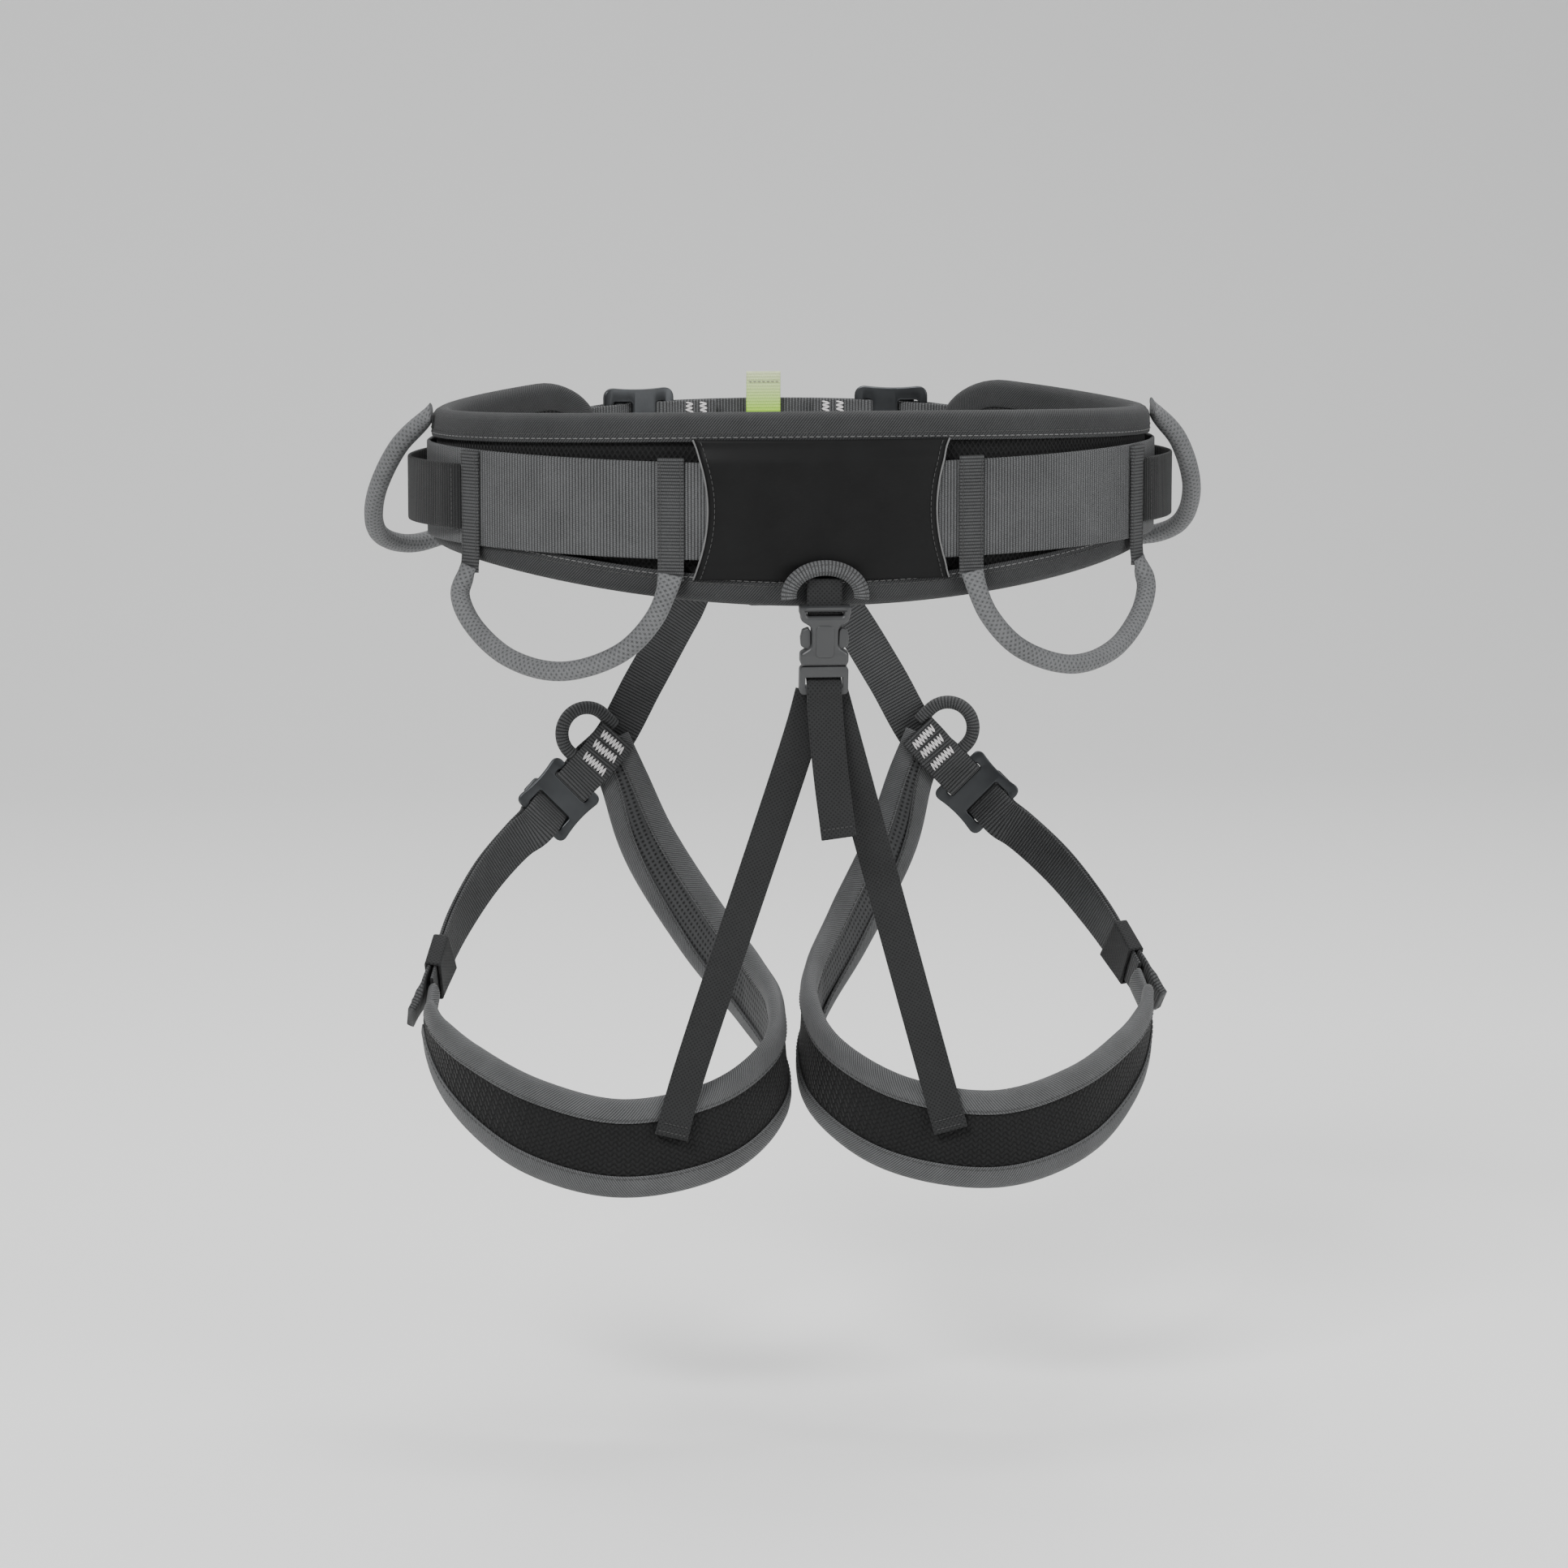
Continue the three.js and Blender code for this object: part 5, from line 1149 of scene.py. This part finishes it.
for n, z in enumerate((-8, 0, 8)):
    centre = VENTRAL_AXIS + np.array([0, VENTRAL_RADIUS + 2.1 * MM, z * MM])
    finish_piece(bartack(f"ventral_bartack_{n + 1}", centre, np.array([1.0, 0, 0]), np.array([0, 0, 1.0]),
                         np.array([0, 1.0, 0]), 12 * MM, 3.2 * MM, 14), "ventral_loop", "webbing",
                 bartack_white)

BRIDGE_HALF_SPAN = 14.4 * MM
share = np.linspace(-1, 1, 30)
arch = VENTRAL_AXIS + np.stack([BRIDGE_HALF_SPAN * share, 0 * share, -4 * MM * share**2], -1)
arch_forward = direction(arch)
arch_across = np.tile([0, 1.0, 0], (30, 1))
leg_bridge = carried("leg_bridge", arch, arch_across, np.cross(arch_forward, arch_across),
                     tape_section(20 * MM, 3.2 * MM, 10))
finish_piece(leg_bridge, "seat", "webbing", webbing_grey, "leg_bridge")

# ---------------------------------------------------------------------------------------------
# Leg loops. A padded band goes round the back of each thigh: foam under spacer mesh outside and a
# perforated lining inside, bound at both edges with light twill tape folded over and sewn.
LEG_PAD_STOPS = np.array([
    [79.5, 100.2, -146, 21, 0.38], [71.5, 98.8, -165, 22, 0.4], [60, 88, -195, 28, 0.85],
    [34, 65, -236, 34, 1],
    [14, 36, -261, 38, 1], [5.5, 3, -275, 41, 1], [10.5, -32, -291, 43, 1], [40, -61, -308, 45, 1],
    [88, -70, -315, 45, 1], [130, -56, -306, 44, 1], [161, -26, -288, 38, 1], [172, -6, -275, 30, 0.9],
    [175, 6, -266, 24, 0.6],
])
THIGH = np.array([88, 12, 0]) * MM


def from_thigh(points):
    """Level direction away from the middle of the thigh."""
    away = (np.asarray(points) - THIGH) * [1, 1, 0]
    return away / np.linalg.norm(away, axis=-1, keepdims=True)


def frames_along(stops, outs, spacing=1.2 * MM):
    """A smooth path with its out direction squared to it, and across as their cross product."""
    path, places = smooth_path(stops, spacing)
    forward = direction(path)
    out = mixed(outs, places)
    window = np.ones(9) / 9
    padded = np.pad(out, ((4, 4), (0, 0)), "edge")
    out = np.stack([np.convolve(padded[:, k], window, "valid") for k in range(3)], -1)
    out -= forward * np.sum(out * forward, 1, keepdims=True)
    out /= np.linalg.norm(out, axis=1, keepdims=True)
    return path, out, np.cross(out, forward), places


pad_stops = LEG_PAD_STOPS[:, :3] * MM
pad_path, pad_out, pad_across, pad_places = frames_along(pad_stops, from_thigh(pad_stops), 2 * MM)
pad_width = np.convolve(np.pad(mixed(LEG_PAD_STOPS[:, 3] * MM, pad_places), 6, "edge"), np.ones(13) / 13,
                        "valid")
pad_thick = np.convolve(np.pad(mixed(LEG_PAD_STOPS[:, 4], pad_places), 6, "edge"), np.ones(13) / 13, "valid")
PAD_ALONG = lengths(pad_path)


def leg_layer(name, flip, outer, inner, crown, inset, lanes=22):
    """A closed layer along the pad: every ring goes across the outer face and back across the inner face,
    both swollen by the bulge, and their depths scaled by the pad's share of thickness there."""
    share = np.cos(np.linspace(math.pi, 0, lanes))
    full = bulge(share)
    middle = (outer + inner) / 2
    front = middle + (outer - middle) * np.maximum(full, 0.3) + crown[0] * full
    back = middle + (inner - middle) * np.maximum(full, 0.3) - crown[1] * full
    place = share * (pad_width[:, None] / 2 - inset)
    depth = np.concatenate([front, back[::-1]]) * pad_thick[:, None]
    place = np.concatenate([place, place[:, ::-1]], 1)
    rings = pad_path[:, None] + pad_across[:, None] * place[..., None] + pad_out[:, None] * depth[..., None]
    return lofted(name, rings * flip, PAD_ALONG, np.linspace(0, 0.09, rings.shape[1] + 1))


def weave_from_pad(obj, flip):
    """A UV map for a layer of the pad: u is the length along it to the nearest point of its path, v the place
    across it."""
    mesh = obj.data
    co = np.empty(len(mesh.vertices) * 3)
    mesh.vertices.foreach_get("co", co)
    co = co.reshape(-1, 3) * flip
    nearest = np.concatenate([
        np.argmin(((part[:, None] - pad_path[None]) ** 2).sum(-1), axis=1) for part in np.array_split(co, 40)
    ])
    away = co - pad_path[nearest]
    forward = direction(pad_path)[nearest]
    u = PAD_ALONG[nearest] + (away * forward).sum(-1)
    v = (away * pad_across[nearest]).sum(-1)
    loops = np.empty(len(mesh.loops), dtype=np.int32)
    mesh.loops.foreach_get("vertex_index", loops)
    if "weave" not in mesh.uv_layers:
        mesh.uv_layers.new(name="weave")
    mesh.uv_layers["weave"].data.foreach_set("uv", np.stack([u, v], -1)[loops].ravel())


def chevrons(tree, u, v):
    """Wavy rows along the pad: threads 2.6 mm apart across it, shifted by a sine of the place along."""
    sway = math_node(tree, "MULTIPLY",
                     math_node(tree, "SINE", math_node(tree, "MULTIPLY", u, math.pi / (2 * MM))), 1.1)
    rows = wave(tree, v, 2.6 * MM, sway)
    knots = wave(tree, u, 2 * MM)
    return math_node(tree, "MULTIPLY", rows, math_node(tree, "MULTIPLY_ADD", knots, 0.5, 0.5))


def dotted(tree, u, v):
    """Rows of small holes 3 mm apart across the lining and 2.2 mm apart along it, pressed into a plain
    face."""
    hole = math_node(tree, "MULTIPLY", wave(tree, u, 2.2 * MM), wave(tree, v, 3 * MM))
    return math_node(tree, "SUBTRACT", 1.0, math_node(tree, "POWER", hole, 2.2))


leg_mesh_black = cloth_material("leg_spacer_mesh", grey(0.002), grey(0.011, 0.02), chevrons, 0.8, 0.7)
leg_lining = cloth_material("leg_lining", grey(0.004), grey(0.055, 0.02), dotted, 0.9, 0.4, 0.12)
binding_light = cloth_material("binding_twill_light", grey(0.025, 0.01), grey(0.12, 0.02), twill, 0.85, 0.3,
                               0.12)
LEG_FOLD = np.array([
    [10, 1.75], [9.6, 2], [7, 2.1], [4, 1.95], [1.8, 1.3], [0.2, 0.2], [-0.7, -1.2], [-0.9, -2.3],
    [-0.7, -3.4],
    [0.2, -4.8], [1.8, -5.9], [4, -6.4], [7, -6.5], [9, -6.4], [9, -5.6], [7, -5.6], [4, -5.4], [2.2, -4.7],
    [1.1, -3.6], [0.7, -2.3], [1.1, -1], [2.2, 0.1], [4, 0.9], [7, 1.1], [9.6, 1.1],
]) * MM


def other_side(pad, flip):
    """The copy of a pad for the other leg: every point is multiplied by flip, and the faces turn outwards
    again."""
    other = pad.copy()
    other.data = pad.data.copy()
    bpy.context.scene.collection.objects.link(other)
    co = np.empty(len(other.data.vertices) * 3)
    other.data.vertices.foreach_get("co", co)
    other.data.vertices.foreach_set("co", (co.reshape(-1, 3) * flip).ravel())
    other.data.flip_normals()
    return other


pad_soft = leg_layer("leg_pad_soft", SIDES[0][1], -1.7 * MM, -4.7 * MM, (0.2 * MM, 0.3 * MM), 2.6 * MM)
puff(pad_soft, 4, 0.7 * MM)
soft_pads = {"right": pad_soft, "left": other_side(pad_soft, SIDES[1][1])}
for side, flip in SIDES:
    body = f"leg_{side}"
    pad = soft_pads[side]
    pad.name = f"leg_pad_{side}"
    weave_from_pad(pad, flip)
    finish_piece(pad, body, "lining", leg_lining, f"leg_padding_{side}")
    skin = leg_layer(f"leg_mesh_{side}", flip, 0.4 * MM, -0.8 * MM, (0.7 * MM, 0), 1.6 * MM)
    weave_from_pad(skin, flip)
    finish_piece(skin, body, "spacer_mesh", leg_mesh_black, f"leg_mesh_{side}")
    for edge_name, edge in (("top", 1), ("bottom", -1)):
        path = pad_path + pad_across * edge * pad_width[:, None] / 2
        inwards = -pad_across * edge
        narrow = np.minimum(1, (pad_width / 2 - 0.4 * MM) / (10 * MM))
        tape = carried(f"leg_binding_{edge_name}_{side}", path * flip, inwards * flip, pad_out * flip,
                       LEG_FOLD,
                       width=narrow, thick=pad_thick)
        finish_piece(tape, body, "binding_tape", binding_light, f"leg_binding_{edge_name}_{side}")
        reach = (8.6 * MM * narrow)[:, None]
        for face, depth in (("outer", 2.15 * MM), ("inner", -6.6 * MM)):
            inset = 0.6 * MM if face == "inner" else 0
            line = path + inwards * (reach - inset) + pad_out * pad_thick[:, None] * depth
            up = pad_out if face == "outer" else -pad_out
            threads = seam(f"leg_stitching_{edge_name}_{face}_{side}", (line * flip)[3:-3],
                           (up * flip)[3:-3], 3 * MM,
                           2.3 * MM, 0.24 * MM)
            finish_piece(threads, body, "binding_tape", thread_dark)

# ---------------------------------------------------------------------------------------------
# Leg risers. Each comes down from the bridge in the ventral loop, turns to lie flat, is doubled and
# bartacked where it holds the pad's end and the ring, and goes round the leg buckle's upper bar.
LEG_BUCKLE_AT = np.array([104, 94, -174]) * MM
buckle_forward = np.array([0.69, -0.17, -0.7])
buckle_forward /= np.linalg.norm(buckle_forward)
leg_buckle_out = from_thigh(LEG_BUCKLE_AT)
leg_buckle_out -= buckle_forward * (leg_buckle_out @ buckle_forward)
leg_buckle_out /= np.linalg.norm(leg_buckle_out)
leg_buckle_across = np.cross(-buckle_forward, leg_buckle_out)
LEG_WEBBING = 20 * MM
LEG_WEBBING_THICK = 1.6 * MM
leg_webbing_grey = cloth_material("leg_webbing", grey(0.01, 0.02), grey(0.075, 0.02), ribs, 0.75, 0.45)


def from_leg_buckle(pairs):
    """Points given in millimetres along the leg buckle's strap and out from it."""
    pairs = np.asarray(pairs, float) * MM
    return LEG_BUCKLE_AT + pairs[:, :1] * buckle_forward + pairs[:, 1:] * leg_buckle_out


def fold_outs(count):
    """Directions of a half turn round a bar: out, then along the strap, then inwards."""
    turn = np.linspace(0, math.pi, count)[:, None]
    return np.cos(turn) * leg_buckle_out + np.sin(turn) * buckle_forward


def beside_pad(pairs):
    """Stops that face as the pad does at its end, and as the buckle does 22 mm nearer to it."""
    points, outs = [], []
    for along, lift in pairs:
        at = from_leg_buckle([[along, 0]])[0]
        share = np.clip((along + 36) / 22, 0, 1)
        out = from_thigh(at) * (1 - share) + leg_buckle_out * share
        out /= np.linalg.norm(out)
        points.append(at + out * lift * MM)
        outs.append(out)
    return np.array(points), np.array(outs)


riser_top = np.array([[15.6, TIE_IN_Y / MM, -55.6], [25, TIE_IN_Y / MM - 0.5, -64], [40, 113, -84],
                      [60, 107, -117]]) * MM
riser_top_outs = np.array([[0.3, 0, 1], [0.6, 0.45, 0.6], [0.2, 1, 0.2], [0, 1, 0]])
over_points, over_outs = beside_pad([[-38, 4.2], [-24, 5.6], [-19, 4.4]])
under_points, under_outs = beside_pad([[-26, -4.6], [-36, -5.2], [-44, -5.2]])
riser_points = np.concatenate([riser_top, over_points, from_leg_buckle(FIXED_END), under_points])
riser_outs = np.concatenate([riser_top_outs, over_outs, fold_outs(len(FIXED_END)), -under_outs])
riser = frames_along(riser_points, riser_outs, 1 * MM)
RING_RADIUS = 12.5 * MM
lateral = leg_buckle_across if leg_buckle_across[0] > 0 else -leg_buckle_across
for side, flip in SIDES:
    body = f"leg_{side}"
    path, out, across, places = riser
    strap = carried(f"leg_riser_{side}", path * flip, across * flip, out * flip,
                    tape_section(LEG_WEBBING, LEG_WEBBING_THICK))
    finish_piece(strap, body, "webbing", leg_webbing_grey, f"leg_riser_{side}")
    for n, place in enumerate((13.95, 14.65, 15.45)):
        row = int(np.argmin(np.abs(places - place)))
        centre = (path[row] + out[row] * 0.9 * MM) * flip
        along = direction(path)[row] * flip
        finish_piece(bartack(f"riser_bartack_{side}_{n + 1}", centre, across[row] * flip, along,
                             out[row] * flip,
                             12.5 * MM, 4.4 * MM, 15), body, "webbing", bartack_white)
    turn = np.linspace(-math.pi / 2, math.pi / 2, 36)[:, None]
    middle = from_leg_buckle([[-33, 0]])[0] + lateral * (LEG_WEBBING / 2 + 2.7 * MM)
    radial = np.cos(turn) * lateral + np.sin(turn) * buckle_forward
    ring = middle + radial * RING_RADIUS
    run_in = lateral * np.linspace(8, 1, 5)[:, None] * MM
    ring = np.concatenate([ring[0] - run_in, ring, ring[-1] - run_in[::-1]])
    radial = np.concatenate([np.tile(radial[0], (5, 1)), radial, np.tile(radial[-1], (5, 1))])
    ring_forward = direction(ring)
    tube = carried(f"leg_ring_{side}", ring * flip, np.cross(radial, ring_forward) * flip, radial * flip,
                   oval_section(3.5 * MM, 3.3 * MM, 16))
    finish_piece(tube, body, "braid", tape_grey, f"leg_ring_{side}")
    make_buckle(f"leg_buckle_{side}", body, f"leg_slider_{side}", LEG_BUCKLE_AT * flip,
                -buckle_forward * flip,
                leg_buckle_out * flip, 34 * MM, LEG_WEBBING, 1, 0.12)

# ---------------------------------------------------------------------------------------------
# Leg straps. The adjusting strap comes up from the pad's neck, goes round the slider and hangs back
# down outside itself through a dark keeper sleeve, to a stop made of its own folded and sewn end.
STRAP_STOPS = np.array([[124, 87, -192], [141, 73, -208], [157, 53, -229], [167, 32, -246]]) * MM
NECK_TOP = np.array([172, 19, -255.5]) * MM
LAYER = LEG_WEBBING_THICK / 2 + 0.3 * MM
inner_stops = np.concatenate([[NECK_TOP], STRAP_STOPS[::-1]])
inner_stops = inner_stops - from_thigh(inner_stops) * LAYER
outer_stops = STRAP_STOPS + from_thigh(STRAP_STOPS) * LAYER
stop_points = np.array([NECK_TOP + from_thigh(NECK_TOP) * (LAYER + 2 * MM), np.array([181.5, 12, -266]) * MM])
strap_points = np.concatenate([inner_stops, from_leg_buckle(ADJUSTING_END), outer_stops, stop_points])
strap_outs = np.concatenate([-from_thigh(inner_stops), fold_outs(len(ADJUSTING_END))[::-1],
                             from_thigh(outer_stops),
                             from_thigh(stop_points)])
strap_frames = frames_along(strap_points, strap_outs, 1 * MM)
keeper_points = np.concatenate([STRAP_STOPS, [NECK_TOP]])
keeper_frames = frames_along(keeper_points, from_thigh(keeper_points), 1 * MM)
neck_points = np.array([pad_stops[-1] + (NECK_TOP - pad_stops[-1]) * s for s in (0.02, 0.5, 0.93)])
neck_points = neck_points - from_thigh(neck_points) * 2 * MM
neck_frames = frames_along(neck_points, from_thigh(neck_points), 1 * MM)


def sleeve_section(half_width, half_thick, wall):
    """A flat sleeve's wall as one closed strip: the outer rounded rectangle joined to the inner one by a
    slit."""
    outer = round_corners(2 * (half_width + wall), 2 * (half_thick + wall), 1.5 * MM)
    inner = round_corners(2 * half_width, 2 * half_thick, 0.4 * MM)
    return np.concatenate([outer, outer[:1], inner[:1] + [0, 0.002 * MM], inner[::-1]])


for side, flip in SIDES:
    body = f"leg_{side}"
    path, out, across, places = strap_frames
    end = len(strap_points) - 1
    swell = 1 + 1.3 * np.clip((places - (end - 0.95)) / 0.25, 0, 1)
    strap = carried(f"leg_strap_{side}", path * flip, across * flip, out * flip,
                    tape_section(LEG_WEBBING, LEG_WEBBING_THICK), thick=swell)
    finish_piece(strap, body, "webbing", leg_webbing_grey, f"leg_strap_{side}")
    row = int(np.argmin(np.abs(places - (end - 0.45))))
    finish_piece(bartack(f"strap_bartack_{side}", (path[row] + out[row] * 1.8 * MM) * flip,
                         across[row] * flip,
                         direction(path)[row] * flip, out[row] * flip, 15 * MM, 2.4 * MM, 17), body,
                 "webbing", thread_grey)
    path, out, across, places = keeper_frames
    covered = (places > 0.64 * 4) & (places < 0.88 * 4)
    sleeve = carried(f"leg_keeper_{side}", path[covered] * flip, across[covered] * flip, out[covered] * flip,
                     sleeve_section(LEG_WEBBING / 2 + 0.6 * MM, 2.8 * MM, 1.2 * MM))
    finish_piece(sleeve, body, "dark_webbing", elastic_black, f"leg_keeper_{side}")
    path, out, across, places = neck_frames
    neck = carried(f"leg_neck_{side}", path * flip, across * flip, out * flip,
                   oval_section(8.5 * MM, 3 * MM, 24))
    finish_piece(neck, body, "binding_tape", binding_light, f"leg_neck_{side}")

# ---------------------------------------------------------------------------------------------
# Elastic straps. Two run from the plug's bar down to the backs of the leg pads, where their ends are
# sewn on, and the spare end hangs free behind the buckle with its tip folded into a hem.
# The foot's place counts the leg pad's stops, and its depth clears the pad's skin.
ELASTIC_SECTION = (16 * MM, 1.5 * MM)
ELASTIC_FOOT_PLACE = 7.55
ELASTIC_FOOT_DEPTH = 1.5 * MM + 0.8 * MM + 1.6 * MM
plug_bar = from_release([0, 0, -43])
back_row = int(np.argmin(np.abs(pad_places - ELASTIC_FOOT_PLACE)))
low = pad_path[back_row] + pad_out[back_row] * ELASTIC_FOOT_DEPTH
foot_end = low + [0, 0, pad_width[back_row] / 2 - 18 * MM]
uphill = plug_bar - foot_end
uphill -= pad_out[back_row] * (uphill @ pad_out[back_row])
foot_top = foot_end + uphill / np.linalg.norm(uphill) * 26 * MM
for side, flip in SIDES:
    layer = 3 * MM if side == "right" else 6 * MM
    stops = np.array([
        [4 * MM, plug_bar[1] + layer, plug_bar[2] + 2.6 * MM],
        [8.5 * MM, plug_bar[1] + layer, plug_bar[2] - 14 * MM],
        foot_top, foot_end,
    ])
    outs = np.array([[0, -1, 0], [0, -1, 0], pad_out[back_row], pad_out[back_row]])
    path, out, across, places = frames_along(stops, outs, 2 * MM)
    hem = 1 + 0.9 * np.clip((places - 2.72) / 0.06, 0, 1)
    elastic = carried(f"elastic_strap_{side}", path * flip, across * flip, out * flip,
                      tape_section(*ELASTIC_SECTION),
                      thick=hem)
    elastic.data.materials.append(elastic_black)
    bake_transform(elastic)
    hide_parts(f"elastic_strap_{side}")
    for n, place in enumerate((2.75, 2.93)):
        row = int(np.argmin(np.abs(places - place)))
        line = path[row] + across[row] * np.linspace(-6.5, 6.5, 14)[:, None] * MM + out[row] * 1.5 * MM
        finish_piece(seam(f"elastic_stitching_{side}_{n + 1}", line * flip,
                          np.tile(out[row] * flip, (14, 1)), 2 * MM,
                          1.5 * MM, 0.24 * MM), f"leg_{side}", "elastic", thread_dark)
tail_top = from_release([0, 0, -41.6])
tail_end = np.array([7 * MM, tail_top[1] - 2 * MM, -164 * MM])
tail_middle = np.array([3 * MM, tail_top[1] - 1.4 * MM, (tail_top[2] + tail_end[2]) / 2])
tail_wrap = np.array([from_release([0, -1.2, -34.4]), from_release([0, -3.8, -36.6]),
                      from_release([0, -4.1, -39.6])])
tail_stops = np.concatenate([[from_release([0, 0.6, -32.9])], tail_wrap, [from_release([0.4, -2.6, -44])],
                             [tail_middle, tail_end]])
path, out, across, places = frames_along(tail_stops, np.tile([0, -1.0, 0], (len(tail_stops), 1)), 1.5 * MM)
hem = 1 + 0.9 * np.clip((places - 5.82) / 0.03, 0, 1)
tail = carried("elastic_tail", path, across, out, tape_section(*ELASTIC_SECTION), thick=hem)
finish_piece(tail, "seat", "elastic", elastic_black, "elastic_tail")
row = int(np.argmin(np.abs(places - 5.86)))
line = path[row] + across[row] * np.linspace(-7, 7, 15)[:, None] * MM + out[row] * 1.5 * MM
finish_piece(seam("elastic_tail_stitching", line, np.tile(out[row], (15, 1)), 2 * MM, 1.5 * MM, 0.24 * MM),
             "seat",
             "elastic", thread_dark)
